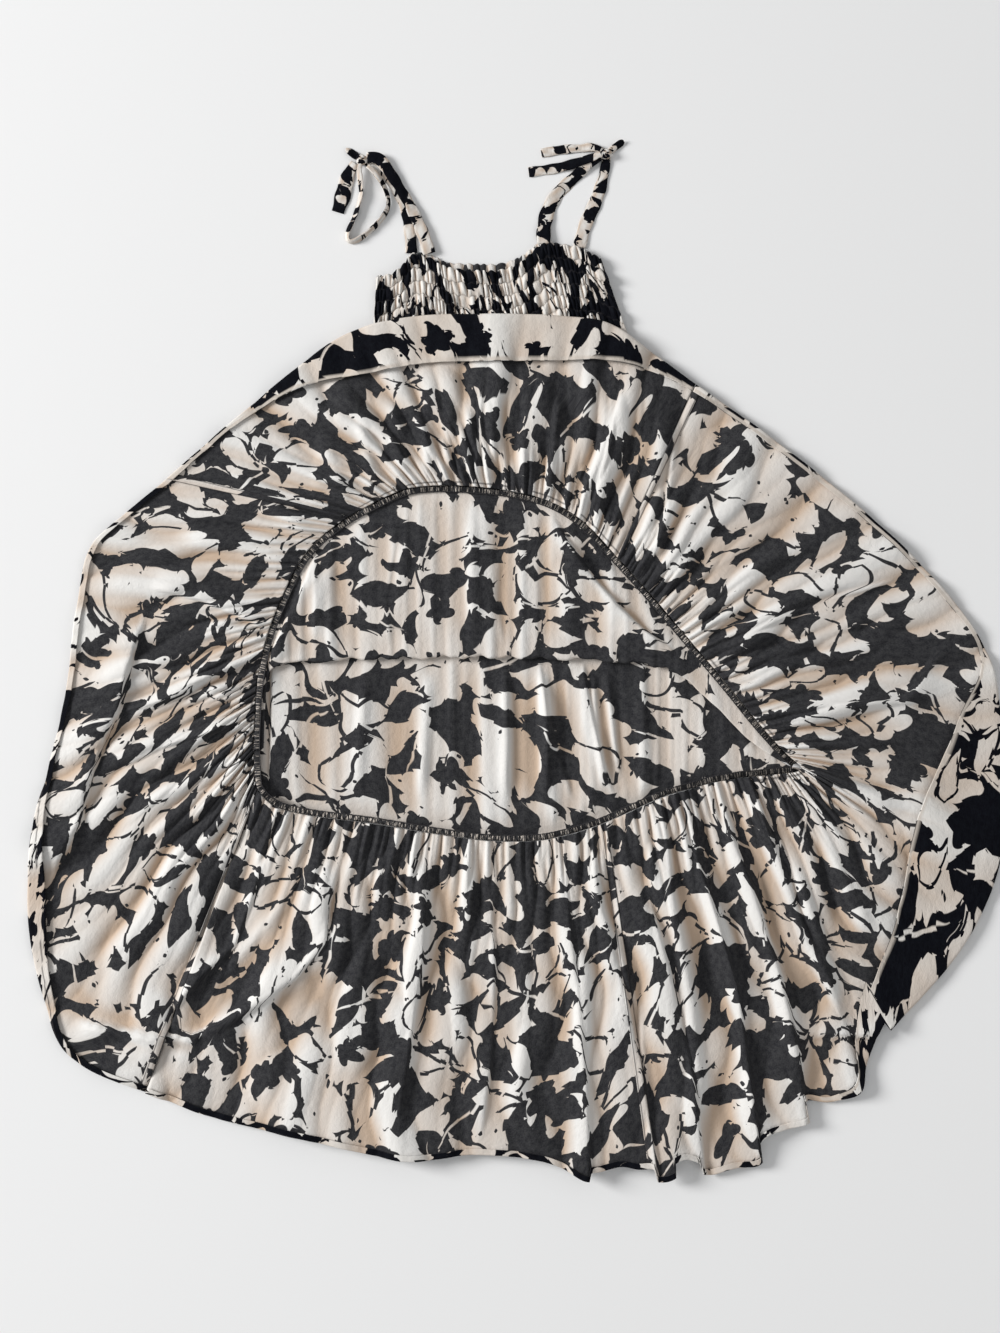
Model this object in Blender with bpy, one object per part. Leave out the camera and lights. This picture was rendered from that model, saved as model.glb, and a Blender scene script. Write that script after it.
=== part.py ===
"""Strap-tie midi dress laid on its back, with the front skirt turned up over the bodice.

Seen from above, the middle shows the inside of the upper skirt within its gathered seam. The lower
flounce lies spread around that seam like a ring, wrong side up, and its edge is turned back over
itself at the top and at the right. Lengths are in centimetres in the tables and become metres in the
meshes. The origin is the middle of the footprint on the surface that the dress lies on, +X is to the
wearer's left and +Y runs from hem to neck.
"""

import math
from collections import namedtuple

import bmesh
import bpy
import numpy as np

# Driving sizes, in centimetres
CM = 0.01
WALL = 0.14
GAP = 0.04
GATHER_PITCH = 3.9
POINTS_A_GATHER = 3
HEM_ROLL = 0.12
TURN_ROLL = 0.30
TURN_ROLL_REACH = 4.0
TURN_FLATTENS = 0.6
TURN_FLAT_FROM = 0.6
TURN_FLAT_OVER = 0.3
SEAM_FULLNESS = 0.8
EDGE_FULLNESS = 0.7
FLAT_SHARE = 0.12
LEAST_WAVE = 0.55
FOLD_END_EASE = 1.5
FRONT_FOLD_ROLL = 0.32
SIDE_FOLD_ROLL = 0.12
ROLL_GROWS_FROM = 3.0
ROLL_GROWS_OVER = 8.0
FOLD_RETURN = 1.5
FOLD_RETURN_SHARE = 0.4
CREASE_START = 1.0
CREASE_RISE = 4.0
CREASE_FADE = 0.3
FRONT_CREASE_END = 0.7
BACK_CREASE_END = 0.5
SEAM_STRIP_WIDTH = 0.8
SEAM_STRIP_START = 0.05
SEAM_STRIP_THICKNESS = 0.14
SEAM_STRIP_CLEARANCE = 0.09
SEAM_STRIP_LOOK = 1.6
SMOCKING_PLEATS = 34
SMOCKING_LIFT = 0.28
SMOCKING_EVENNESS = 0.6
SHIRRING_ROW_PITCH = 1.5
SHIRRING_PINCH = 0.3
BODICE_FRONT_Z = 0.50
BODICE_BACK_Z = 0.07
BACK_PLEATS = 13
BACK_PLEAT_LIFT = 0.26
BODICE_BOTTOM_Y = 38.5
BACK_NECK_RISE = 0.9
NECK_POINTS = 400
TIE_THICKNESS = 0.16
TIE_FLAT_SHARE = 0.8
TIE_STEP = 0.8
TIE_LEAST_RINGS = 6
TIE_FINE_POINTS = 200
KNOT_CLEARANCE = 0.03
KNOT_WRAP = 0.05
KNOT_SIDES = 12
KNOT_RINGS = 7
SCATTER_STEP = 12.9898
SCATTER_SEED = 78.233
SCATTER_SCALE = 43758.5453
SHARP_ANGLE = 50
WRONG_SIDE_COLOUR = (0.36, 0.32, 0.29)
WRONG_SIDE_ROUGHNESS = 0.85
RIGHT_SIDE_COLOUR = (0.24, 0.21, 0.19)
RIGHT_SIDE_ROUGHNESS = 0.80
OVERLOCK_COLOUR = (0.05, 0.05, 0.06)
OVERLOCK_ROUGHNESS = 0.90

# The flounce, one ray for each place where its outline turns, clockwise from the lower left.
# turn is how far the edge is turned back over the flounce, and seam_z and edge_z are the heights
# of the wall's underside.
Ray = namedtuple("Ray", "seam_x seam_y edge_x edge_y turn seam_z edge_z")
RAYS = (
    Ray(-31.0, -15.8, -44.5, -52.1, 0.6, 0.04, 0.00),
    Ray(-31.4, -13.2, -53.6, -47.7, 0.6, 0.22, 0.00),
    Ray(-31.5, -10.6, -57.0, -39.6, 1.5, 0.46, 0.00),
    Ray(-31.4, -7.6, -58.6, -30.8, 2.6, 0.50, 0.00),
    Ray(-31.2, -4.2, -58.0, -20.6, 1.5, 0.54, 0.00),
    Ray(-30.7, -0.8, -56.0, -13.0, 0.6, 0.58, 0.00),
    Ray(-29.6, 3.4, -54.1, -4.6, 0.6, 0.64, 0.00),
    Ray(-27.8, 7.8, -52.7, 6.2, 0.6, 0.72, 0.00),
    Ray(-25.9, 11.5, -51.4, 12.6, 0.6, 0.82, 0.00),
    Ray(-23.6, 14.2, -48.6, 15.8, 0.6, 0.92, 0.00),
    Ray(-20.4, 16.6, -42.0, 21.4, 0.6, 0.98, 0.00),
    Ray(-16.4, 18.8, -34.4, 28.0, 0.6, 1.00, 0.00),
    Ray(-13.2, 20.1, -27.4, 33.8, 2.0, 1.00, 0.15),
    Ray(-9.8, 20.5, -20.6, 38.6, 5.2, 1.00, 0.60),
    Ray(-5.6, 20.4, -12.6, 40.7, 5.6, 1.00, 0.92),
    Ray(-1.0, 19.9, -2.6, 41.0, 5.4, 1.00, 0.92),
    Ray(3.2, 18.9, 5.4, 40.8, 5.1, 1.00, 0.92),
    Ray(6.4, 17.3, 11.0, 39.9, 4.2, 1.00, 0.80),
    Ray(9.0, 15.2, 15.6, 36.9, 2.2, 1.00, 0.30),
    Ray(12.0, 11.9, 21.4, 32.7, 0.8, 0.98, 0.00),
    Ray(15.9, 7.6, 30.6, 26.2, 0.6, 0.95, 0.00),
    Ray(20.4, 2.3, 42.4, 16.8, 0.6, 0.90, 0.00),
    Ray(25.0, -3.1, 51.6, 7.6, 0.6, 0.84, 0.00),
    Ray(28.4, -7.3, 56.4, 0.4, 0.8, 0.76, 0.00),
    Ray(30.5, -9.7, 57.9, -6.2, 4.6, 0.68, 0.00),
    Ray(32.3, -11.6, 58.6, -14.0, 8.0, 0.60, 0.00),
    Ray(33.5, -12.6, 58.4, -21.2, 10.4, 0.46, 0.00),
    Ray(34.0, -13.2, 56.8, -28.1, 11.2, 0.30, 0.00),
    Ray(33.4, -13.7, 53.2, -35.0, 10.0, 0.16, 0.00),
    Ray(31.8, -13.9, 48.4, -40.8, 7.4, 0.10, 0.00),
    Ray(29.9, -14.1, 44.2, -45.0, 5.0, 0.06, 0.00),
    Ray(28.2, -14.3, 42.0, -48.6, 3.6, 0.04, 0.00),
    Ray(26.8, -14.4, 41.2, -52.0, 1.4, 0.02, 0.00),
    Ray(25.2, -14.7, 38.2, -53.2, 0.6, 0.02, 0.00),
    Ray(23.4, -15.0, 34.9, -54.6, 0.6, 0.02, 0.00),
    Ray(20.8, -15.7, 31.0, -57.4, 0.6, 0.02, 0.00),
    Ray(18.6, -16.3, 28.4, -60.2, 0.6, 0.02, 0.00),
    Ray(16.4, -17.1, 24.0, -61.4, 0.6, 0.02, 0.00),
    Ray(14.0, -18.2, 20.4, -60.5, 0.6, 0.02, 0.00),
    Ray(10.6, -19.7, 16.8, -62.2, 0.6, 0.02, 0.00),
    Ray(8.4, -20.5, 12.6, -60.8, 0.6, 0.02, 0.00),
    Ray(5.6, -21.3, 8.4, -62.0, 0.6, 0.02, 0.00),
    Ray(2.2, -21.9, 2.8, -60.1, 0.6, 0.02, 0.00),
    Ray(-3.4, -21.9, -5.0, -59.4, 0.6, 0.02, 0.00),
    Ray(-9.6, -21.1, -13.6, -60.0, 0.6, 0.02, 0.00),
    Ray(-17.6, -19.8, -26.0, -57.4, 0.6, 0.02, 0.00),
    Ray(-24.6, -18.9, -36.0, -55.2, 0.6, 0.02, 0.00),
    Ray(-28.8, -17.8, -41.2, -53.4, 0.6, 0.02, 0.00),
)

# The flounce's cut panels, from the ray where each starts to the ray where it ends
Panel = namedtuple("Panel", "name start end")
PANELS = (
    Panel("flounce_left", 0, 10),
    Panel("flounce_top", 10, 19),
    Panel("flounce_right", 19, 39),
    Panel("flounce_lower", 39, 48),
)

# The grid lines across a flounce panel: how far out each lies as a share of the ray, the turn of
# the rolled edge in degrees, the share of the turned-back width, and the step between its points
Line = namedtuple("Line", "out roll back step")
LINES = (
    Line(0.00, 0, 0.0, 1),
    Line(0.045, 0, 0.0, 1),
    Line(0.12, 0, 0.0, 1),
    Line(0.24, 0, 0.0, 2),
    Line(0.40, 0, 0.0, 2),
    Line(0.60, 0, 0.0, 4),
    Line(0.80, 0, 0.0, 4),
    Line(1.00, 0, 0.0, 4),
    Line(1.00, 90, 0.0, 4),
    Line(1.00, 180, 0.0, 4),
    Line(1.00, 180, 0.5, 4),
    Line(1.00, 180, 1.0, 4),
)

# The gathers of the flounce, from the seam outwards: how many of the finest each one joins, its
# height, where along the ray it rises and falls, and the share of its height left at the hem
Band = namedtuple("Band", "gathers lift seed rise_from rise_over fall_from fall_over kept")
BANDS = (
    Band(1, 0.55, 1, 0.00, 0.045, 0.06, 0.15, 0.00),
    Band(2, 0.85, 2, 0.05, 0.15, 0.40, 0.20, 0.00),
    Band(4, 1.00, 3, 0.25, 0.35, 0.75, 0.25, 0.45),
)

# The largest folds across the flounce: the rays they run between, where they lie along the ray,
# their half width and their height
Fold = namedtuple("Fold", "start end out half_width height")
LARGE_FOLDS = (
    Fold(1.5, 9.5, 0.82, 0.13, 0.55),
    Fold(0.0, 3.0, 0.74, 0.08, 0.35),
    Fold(44.0, 48.0, 0.76, 0.09, 0.45),
)

# The front of the upper skirt, turned up: the fold's line at rays of the gathered seam
Column = namedtuple("Column", "ray end_x end_y")
FRONT_COLUMNS = (
    Column(1.8, -30.3, -11.2),
    Column(3.0, -30.2, -7.7),
    Column(4.6, -29.9, -3.2),
    Column(5.4, -29.3, -1.4),
    Column(6.6, -26.8, -0.7),
    Column(8.0, -22.6, -0.4),
    Column(10.0, -16.6, -0.2),
    Column(12.0, -11.2, -0.1),
    Column(14.0, -5.0, 0.0),
    Column(16.0, 3.0, -0.2),
    Column(18.0, 9.8, -0.4),
    Column(19.6, 15.4, -0.9),
    Column(21.0, 19.2, -2.0),
    Column(22.0, 23.4, -5.6),
    Column(23.0, 27.0, -9.2),
    Column(24.0, 29.2, -11.0),
    Column(25.0, 31.3, -12.3),
    Column(26.1, 32.9, -12.75),
)

# The back of the upper skirt, from the lower gathered seam to its upper end under that fold
BACK_COLUMNS = (
    Column(27.3, 33.5, -13.2),
    Column(28.2, 32.4, -12.9),
    Column(29.0, 31.0, -12.0),
    Column(30.0, 29.2, -10.2),
    Column(31.6, 26.6, -7.0),
    Column(33.0, 23.4, -3.4),
    Column(35.0, 18.8, -0.2),
    Column(37.0, 14.4, 1.2),
    Column(39.0, 9.0, 1.6),
    Column(42.0, 1.4, 1.7),
    Column(44.0, -9.2, 1.7),
    Column(45.0, -17.0, 1.6),
    Column(46.4, -26.4, 1.2),
    Column(47.2, -29.4, 0.6),
    Column(47.8, -30.1, -1.0),
    Column(48.4, -30.8, -7.0),
    Column(49.0, -31.16, -11.4),
)

# The seam strips: the rays they run between and their number of rings
Strip = namedtuple("Strip", "name start end rings")
STRIPS = (
    Strip("seam_edges_front", 1.85, 25.8, 70),
    Strip("seam_edges_back", 28.3, 49.8, 50),
)

# The largest folds of those two, as ridges from the seam: the ray, the half width and the height
Crease = namedtuple("Crease", "ray half_width height")
FRONT_CREASES = (
    Crease(6.2, 0.5, 0.25),
    Crease(8.3, 0.6, 0.30),
    Crease(10.2, 0.6, 0.20),
    Crease(12.4, 0.7, 0.30),
    Crease(14.1, 0.5, 0.35),
    Crease(15.6, 0.4, 0.25),
    Crease(17.2, 0.5, 0.32),
    Crease(18.9, 0.5, 0.24),
    Crease(20.4, 0.6, 0.26),
)
BACK_CREASES = (
    Crease(31.0, 0.7, 0.20),
    Crease(34.2, 0.9, 0.26),
    Crease(37.2, 0.7, 0.32),
    Crease(39.6, 0.5, 0.36),
    Crease(41.4, 0.5, 0.40),
    Crease(42.8, 0.4, 0.34),
    Crease(43.9, 0.4, 0.22),
    Crease(45.2, 0.4, 0.26),
    Crease(46.6, 0.4, 0.20),
)

# The hidden layers under the turned-up front: half width and middle at the neck end and the fold
HIDDEN_TOP_Y = 38.46
HIDDEN_BOTTOM_Y = 3.0
HIDDEN_TOP_HALF = 14.0
HIDDEN_BOTTOM_HALF = 22.5
HIDDEN_TOP_MIDDLE = -2.4
HIDDEN_BOTTOM_MIDDLE = -5.4
HIDDEN_CORNER = 3.0
HIDDEN_CORNER_POINTS = 5
HIDDEN_SLOPE = 5.0
HIDDEN_SPARE = 1.0

# Its rounded edge, a ring of points for each row, stepped like a stack of folded cloth
Step = namedtuple("Step", "inset z")
HIDDEN_STEPS = (
    Step(0.12, 0.00),
    Step(0.00, 0.08),
    Step(0.03, 0.22),
    Step(0.28, 0.28),
    Step(0.26, 0.34),
    Step(0.34, 0.48),
    Step(0.62, 0.55),
    Step(0.60, 0.60),
    Step(0.72, 0.74),
    Step(1.10, 0.83),
    Step(2.20, 0.86),
)
HIDDEN_HEIGHT = HIDDEN_STEPS[-1].z

# The bodice's upper edge from the wearer's right armhole to the left one
EdgePoint = namedtuple("EdgePoint", "x y")
BODICE_TOP = (
    EdgePoint(-16.8, 45.6),
    EdgePoint(-15.0, 45.9),
    EdgePoint(-13.6, 47.0),
    EdgePoint(-12.4, 48.2),
    EdgePoint(-10.0, 47.6),
    EdgePoint(-8.2, 46.6),
    EdgePoint(-4.0, 46.2),
    EdgePoint(-1.6, 46.4),
    EdgePoint(0.6, 47.4),
    EdgePoint(3.0, 49.4),
    EdgePoint(5.2, 49.3),
    EdgePoint(7.4, 49.1),
    EdgePoint(8.6, 48.4),
    EdgePoint(10.0, 47.8),
)
BODICE_BOTTOM_LEFT = -17.2
BODICE_BOTTOM_RIGHT = 13.3

# The ties: each stretch's middle line, with the ribbon's width and its tilt about that line
Stop = namedtuple("Stop", "x y z width tilt")
TIES = {
    "tie_right_shoulder_front": (
        Stop(-10.5, 48.35, 0.54, 1.5, 0),
        Stop(-11.3, 50.8, 0.52, 1.5, 0),
        Stop(-12.5, 53.5, 0.56, 1.4, 10),
        Stop(-13.8, 55.8, 0.58, 1.3, 20),
        Stop(-15.2, 58.0, 0.60, 1.4, 10),
        Stop(-16.6, 59.7, 0.66, 1.5, 0),
        Stop(-18.0, 59.8, 0.66, 1.3, 0),
    ),
    "tie_right_shoulder_back": (
        Stop(-12.7, 48.52, 0.14, 1.4, 0),
        Stop(-12.8, 50.8, 0.12, 1.4, 0),
        Stop(-13.3, 53.5, 0.12, 1.3, 0),
        Stop(-14.4, 56.0, 0.12, 1.2, 0),
        Stop(-15.9, 58.0, 0.14, 1.2, 0),
        Stop(-18.0, 59.5, 0.20, 1.1, 0),
    ),
    "bow_right_tail": (
        Stop(-19.4, 59.3, 0.24, 1.0, 0),
        Stop(-20.3, 57.7, 0.12, 1.6, 0),
        Stop(-20.8, 55.7, 0.12, 1.9, 0),
        Stop(-21.5, 53.4, 0.12, 1.5, 0),
    ),
    "bow_right_loop": (
        Stop(-18.7, 59.4, 0.60, 0.6, 0),
        Stop(-18.9, 58.4, 0.62, 0.6, 5),
        Stop(-18.8, 57.3, 0.60, 0.8, 30),
        Stop(-18.7, 55.5, 0.48, 0.8, 50),
        Stop(-19.4, 53.0, 0.38, 0.8, 50),
        Stop(-20.3, 50.9, 0.40, 0.8, 50),
        Stop(-20.1, 49.9, 0.42, 0.8, 60),
        Stop(-19.0, 50.1, 0.40, 0.8, 50),
        Stop(-17.2, 51.5, 0.38, 0.8, 50),
        Stop(-15.8, 53.2, 0.40, 0.8, 55),
        Stop(-15.4, 54.6, 0.44, 0.8, 60),
        Stop(-15.9, 56.4, 0.50, 0.8, 45),
        Stop(-16.9, 57.9, 0.64, 0.7, 20),
        Stop(-17.9, 58.85, 0.68, 0.6, 5),
    ),
    "bow_right_small_loop": (
        Stop(-18.9, 59.8, 0.30, 1.0, 0),
        Stop(-19.7, 60.4, 0.30, 1.1, 30),
        Stop(-20.5, 61.0, 0.30, 0.9, 30),
    ),
    "tie_left_shoulder_front": (
        Stop(3.2, 49.52, 0.58, 1.6, 0),
        Stop(3.2, 51.3, 0.42, 1.7, 0),
        Stop(3.7, 53.5, 0.16, 1.7, 0),
        Stop(4.8, 55.5, 0.14, 1.6, 10),
        Stop(6.7, 57.4, 0.16, 1.4, 10),
        Stop(8.9, 59.3, 0.40, 1.1, 0),
        Stop(10.6, 60.4, 0.60, 0.9, 0),
    ),
    "tie_left_shoulder_back": (
        Stop(7.5, 49.22, 0.20, 1.5, 0),
        Stop(8.0, 51.3, 0.14, 1.6, 0),
        Stop(8.9, 53.5, 0.12, 1.6, 0),
        Stop(9.8, 55.7, 0.12, 1.5, 0),
        Stop(10.4, 57.9, 0.14, 1.2, 0),
        Stop(10.8, 60.2, 0.26, 1.0, 0),
    ),
    "bow_left_small_loop": (
        Stop(10.8, 60.4, 0.30, 0.8, 0),
        Stop(11.8, 61.2, 0.30, 0.9, 20),
        Stop(12.8, 61.9, 0.30, 1.0, 30),
    ),
    "bow_left_upper_tail": (
        Stop(10.5, 60.5, 0.36, 0.7, 0),
        Stop(9.6, 61.0, 0.34, 0.9, 0),
        Stop(8.6, 61.2, 0.26, 1.0, 0),
        Stop(7.8, 61.1, 0.14, 1.0, 0),
        Stop(5.4, 60.9, 0.12, 1.1, 0),
        Stop(2.9, 60.5, 0.12, 1.1, 0),
    ),
    "bow_left_lower_tail": (
        Stop(10.6, 60.3, 0.84, 0.8, 0),
        Stop(9.2, 59.9, 0.80, 0.9, 0),
        Stop(7.6, 59.4, 0.50, 1.1, 0),
        Stop(4.8, 58.7, 0.14, 1.2, 0),
        Stop(1.4, 58.2, 0.12, 1.2, 0),
    ),
}

# The knots that gather the ties of each shoulder: middle and half sizes
Knot = namedtuple("Knot", "x y z half_x half_y half_z ties")
KNOTS = {
    "knot_right_shoulder": Knot(-18.6, 59.6, 0.50, 0.75, 0.65, 0.48, "right"),
    "knot_left_shoulder": Knot(10.7, 60.3, 0.50, 0.75, 0.65, 0.48, "left"),
}


def clear_scene():
    for thing in list(bpy.data.objects):
        bpy.data.objects.remove(thing)


def cloth_material(name, colour, roughness):
    material = bpy.data.materials.new(name)
    material.use_nodes = True
    shader = material.node_tree.nodes["Principled BSDF"]
    shader.inputs["Base Color"].default_value = (*colour, 1.0)
    shader.inputs["Roughness"].default_value = roughness
    shader.inputs["Metallic"].default_value = 0.0
    return material


def ease(value):
    """0 below 0, 1 above 1, and a smooth rise between."""
    t = np.clip(value, 0.0, 1.0)
    return t * t * (3 - 2 * t)


def scatter(number, seed):
    """A fixed value from 0 to 1 for each whole number, so that no two gathers are alike."""
    turned = np.sin(number * SCATTER_STEP + seed * SCATTER_SEED)
    return np.modf(np.abs(turned * SCATTER_SCALE))[0]


def along(rows, at, closed):
    """The rows of a table read at fractional places on a smooth curve through them."""
    table = np.array(rows, float)
    count = len(table)
    whole = np.floor(at).astype(int)
    t = (at - whole)[:, None]
    picks = [whole + step for step in (-1, 0, 1, 2)]
    wrap = (lambda k: k % count) if closed else (lambda k: np.clip(k, 0, count - 1))
    before, first, second, after = (table[wrap(k)] for k in picks)
    return 0.5 * (
        2 * first
        + (second - before) * t
        + (2 * before - 5 * first + 4 * second - after) * t**2
        + (3 * first - before - 3 * second + after) * t**3
    )


def cover_height(x, y):
    """The height that keeps cloth clear of the layers hidden under the turned-up front."""
    down = np.clip((HIDDEN_TOP_Y - y) / (HIDDEN_TOP_Y - HIDDEN_BOTTOM_Y), 0.0, 1.0)
    half = HIDDEN_TOP_HALF + (HIDDEN_BOTTOM_HALF - HIDDEN_TOP_HALF) * down
    middle = HIDDEN_TOP_MIDDLE + (HIDDEN_BOTTOM_MIDDLE - HIDDEN_TOP_MIDDLE) * down
    aside = np.abs(x - middle) - half - HIDDEN_SPARE
    return (HIDDEN_HEIGHT + GAP) * (1 - ease(aside / HIDDEN_SLOPE))


def quads(near, far, count):
    """Faces between two rows of as many points, given the index of each row's first."""
    return [(near + i, near + i + 1, far + i + 1, far + i) for i in range(count - 1)]


def sheet_faces(rows):
    """Faces of a sheet given as rows of points, each as long as the last or half of it."""
    faces = []
    start = 0
    for near, far in zip(rows, rows[1:]):
        n, m = len(near), len(far)
        a, b = start, start + n
        if n == m:
            faces += quads(a, b, n)
        else:
            for j in range(m - 1):
                i = 2 * j
                faces.append((a + i, a + i + 1, b + j))
                faces.append((a + i + 1, a + i + 2, b + j + 1))
                faces.append((a + i + 1, b + j + 1, b + j))
        start += n
    return faces


def sheet_rim(rows):
    """The indices round a sheet of rows, in order."""
    starts = np.concatenate([[0], np.cumsum([len(row) for row in rows])])
    rim = list(range(len(rows[0])))
    rim += [int(end) - 1 for end in starts[2:]]
    rim += [int(starts[-2]) + i for i in range(len(rows[-1]) - 2, -1, -1)]
    rim += [int(start) for start in starts[-3:0:-1]]
    return rim


def add_mesh(name, points, faces, material):
    mesh = bpy.data.meshes.new(name)
    mesh.from_pydata((np.asarray(points) * CM).tolist(), [], faces)
    form = bmesh.new()
    form.from_mesh(mesh)
    bmesh.ops.recalc_face_normals(form, faces=form.faces)
    form.to_mesh(mesh)
    form.free()
    mesh.materials.append(material)
    thing = bpy.data.objects.new(name, mesh)
    bpy.context.scene.collection.objects.link(thing)
    return thing


def smooth_faces(thing):
    thing.data.shade_smooth()
    thing.data.set_sharp_from_angle(angle=math.radians(SHARP_ANGLE))


def cloth_wall(name, outer, inner, material, plain=False):
    """A closed wall between two sheets of rows. A plain outer sheet lies in one plane."""
    faces = sheet_faces(inner)
    base = sum(len(row) for row in inner)
    rim = sheet_rim(inner)
    if plain:
        flat = np.concatenate(outer)[rim]
        points = np.concatenate(inner + [flat])
        mate = {index: base + k for k, index in enumerate(rim)}
        faces.append(tuple(mate[index] for index in rim))
    else:
        points = np.concatenate(inner + outer)
        mate = {index: base + index for index in rim}
        faces += [tuple(base + index for index in face) for face in faces]
    faces += [(a, b, mate[b], mate[a]) for a, b in zip(rim, rim[1:] + rim[:1])]
    thing = add_mesh(name, points, faces, material)
    smooth_faces(thing)
    return thing


def wall_pair(x, y, z, way_x, way_y, turned):
    """The outer and inner points of a wall that has turned by an angle from lying face down."""
    flat, up = math.sin(turned) * WALL / 2, -math.cos(turned) * WALL / 2
    outer = np.stack([x + way_x * flat, y + way_y * flat, z + up], axis=1)
    inner = np.stack([x - way_x * flat, y - way_y * flat, z - up], axis=1)
    return outer, inner


def ray_lengths():
    """The flounce's cut width up to each ray, from its gathered seam and its spread edge."""
    table = np.array(RAYS + RAYS[:1], float)
    seam = np.hypot(*np.diff(table[:, 0:2], axis=0).T)
    edge = np.hypot(*np.diff(table[:, 2:4], axis=0).T)
    return np.concatenate([[0.0], np.cumsum(SEAM_FULLNESS * seam + EDGE_FULLNESS * edge)])


def gather_wave(gathers, seed):
    """Rounded gathers of uneven height, one for each whole number."""
    which = np.floor(gathers)
    height = LEAST_WAVE + (1 - LEAST_WAVE) * scatter(which, seed)
    wave = 0.5 - 0.5 * np.cos(2 * np.pi * gathers)
    return height * np.maximum(wave - FLAT_SHARE, 0.0) / (1 - FLAT_SHARE)


def flounce_relief(ray_at, gathers, out):
    """How far the flounce stands over what it lies on: gathers at the seam that merge outwards."""
    lift = 0.0
    for band in BANDS:
        rise = ease((out - band.rise_from) / band.rise_over)
        fall = (1 - band.kept) * ease((out - band.fall_from) / band.fall_over)
        wave = gather_wave(gathers / band.gathers, band.seed)
        lift = lift + band.lift * rise * (1 - fall) * wave
    for fold in LARGE_FOLDS:
        inside = ease((ray_at - fold.start) * FOLD_END_EASE)
        inside = inside * ease((fold.end - ray_at) * FOLD_END_EASE)
        across = (out - fold.out) / fold.half_width
        lift = lift + fold.height * inside * np.exp(-across * across)
    return lift


def flounce_line(ray_at, gathers, line):
    """One grid line of the flounce, as the wall's outer and inner points."""
    seam_x, seam_y, edge_x, edge_y, turn, seam_z, edge_z = along(RAYS, ray_at, True).T
    reach = np.hypot(edge_x - seam_x, edge_y - seam_y)
    way_x, way_y = (edge_x - seam_x) / reach, (edge_y - seam_y) / reach
    roll = HEM_ROLL + (TURN_ROLL - HEM_ROLL) * ease(turn / TURN_ROLL_REACH)
    flat = reach - roll - WALL / 2
    gone = GAP / 2 + (flat - GAP / 2) * line.out - turn * line.back
    out = gone / flat
    angle = math.radians(line.roll)
    beyond = gone + roll * math.sin(angle)
    x, y = seam_x + way_x * beyond, seam_y + way_y * beyond
    ground = np.maximum(seam_z + (edge_z - seam_z) * ease(out), cover_height(x, y))
    under = ease(turn / TURN_ROLL_REACH) * ease((out - TURN_FLAT_FROM) / TURN_FLAT_OVER)
    relief = flounce_relief(ray_at, gathers, out) * (1 - TURN_FLATTENS * under)
    z = ground + WALL / 2 + relief
    return wall_pair(x, y, z + roll * (1 - math.cos(angle)), way_x, way_y, angle)


def panel_places(panel, lengths):
    """The rays and the gather numbers of a panel's points at the seam."""
    start, end = lengths[panel.start], lengths[panel.end]
    gathers = 4 * round((end - start) / GATHER_PITCH / 4)
    count = gathers * POINTS_A_GATHER + 1
    cut = np.linspace(start + GAP, end - GAP, count)
    return np.interp(cut, lengths, np.arange(len(lengths))), np.linspace(0.0, gathers, count)


def flounce_panel(panel, lengths, material):
    ray_at, number = panel_places(panel, lengths)
    pairs = []
    for line in LINES:
        chosen = slice(None, None, line.step)
        pairs.append(flounce_line(ray_at[chosen], number[chosen], line))
    outer, inner = zip(*pairs)
    return cloth_wall(panel.name, list(outer), list(inner), material)


def seam_places(start, end, lengths):
    """The rays of all the flounce's seam points between two rays, a number that halves twice."""
    once = np.concatenate([panel_places(panel, lengths)[0] for panel in PANELS])
    ray_at = np.concatenate([once, once + len(RAYS)])
    ray_at = ray_at[(ray_at >= start) & (ray_at <= end)]
    spare = (len(ray_at) - 1) % 4
    return ray_at[: len(ray_at) - spare]


def crease_lift(creases, ray_at):
    return sum(c.height * np.exp(-(((ray_at - c.ray) / c.half_width) ** 2)) for c in creases)


def inner_line(columns, ray_at, share, beyond):
    """A line inside the seam at a share of the way to the columns' end, and the way there."""
    seam_x, seam_y = along(RAYS, ray_at, True)[:, 0:2].T
    table = np.array(columns, float)
    order = np.interp(ray_at, table[:, 0], np.arange(len(table)))
    _, end_x, end_y = along(columns, order, False).T
    reach = np.hypot(end_x - seam_x, end_y - seam_y)
    way_x, way_y = (end_x - seam_x) / reach, (end_y - seam_y) / reach
    gone = GAP / 2 + (reach - GAP / 2) * share + beyond(reach)
    return seam_x + way_x * gone, seam_y + way_y * gone, way_x, way_y, reach


# The grid lines of the upper skirt's pieces, from the gathered seam inwards: the share of the way
# to the fold, the turn of the fold in degrees, the share of its return and the step between points
INNER_LINES = (
    Line(0.00, 0, 0.0, 1),
    Line(0.10, 0, 0.0, 2),
    Line(0.30, 0, 0.0, 4),
    Line(0.55, 0, 0.0, 4),
    Line(0.80, 0, 0.0, 4),
    Line(1.00, 0, 0.0, 4),
)
FOLD_LINES = (
    Line(1.00, 90, 0.0, 4),
    Line(1.00, 180, 0.0, 4),
    Line(1.00, 180, 1.0, 4),
)


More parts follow.
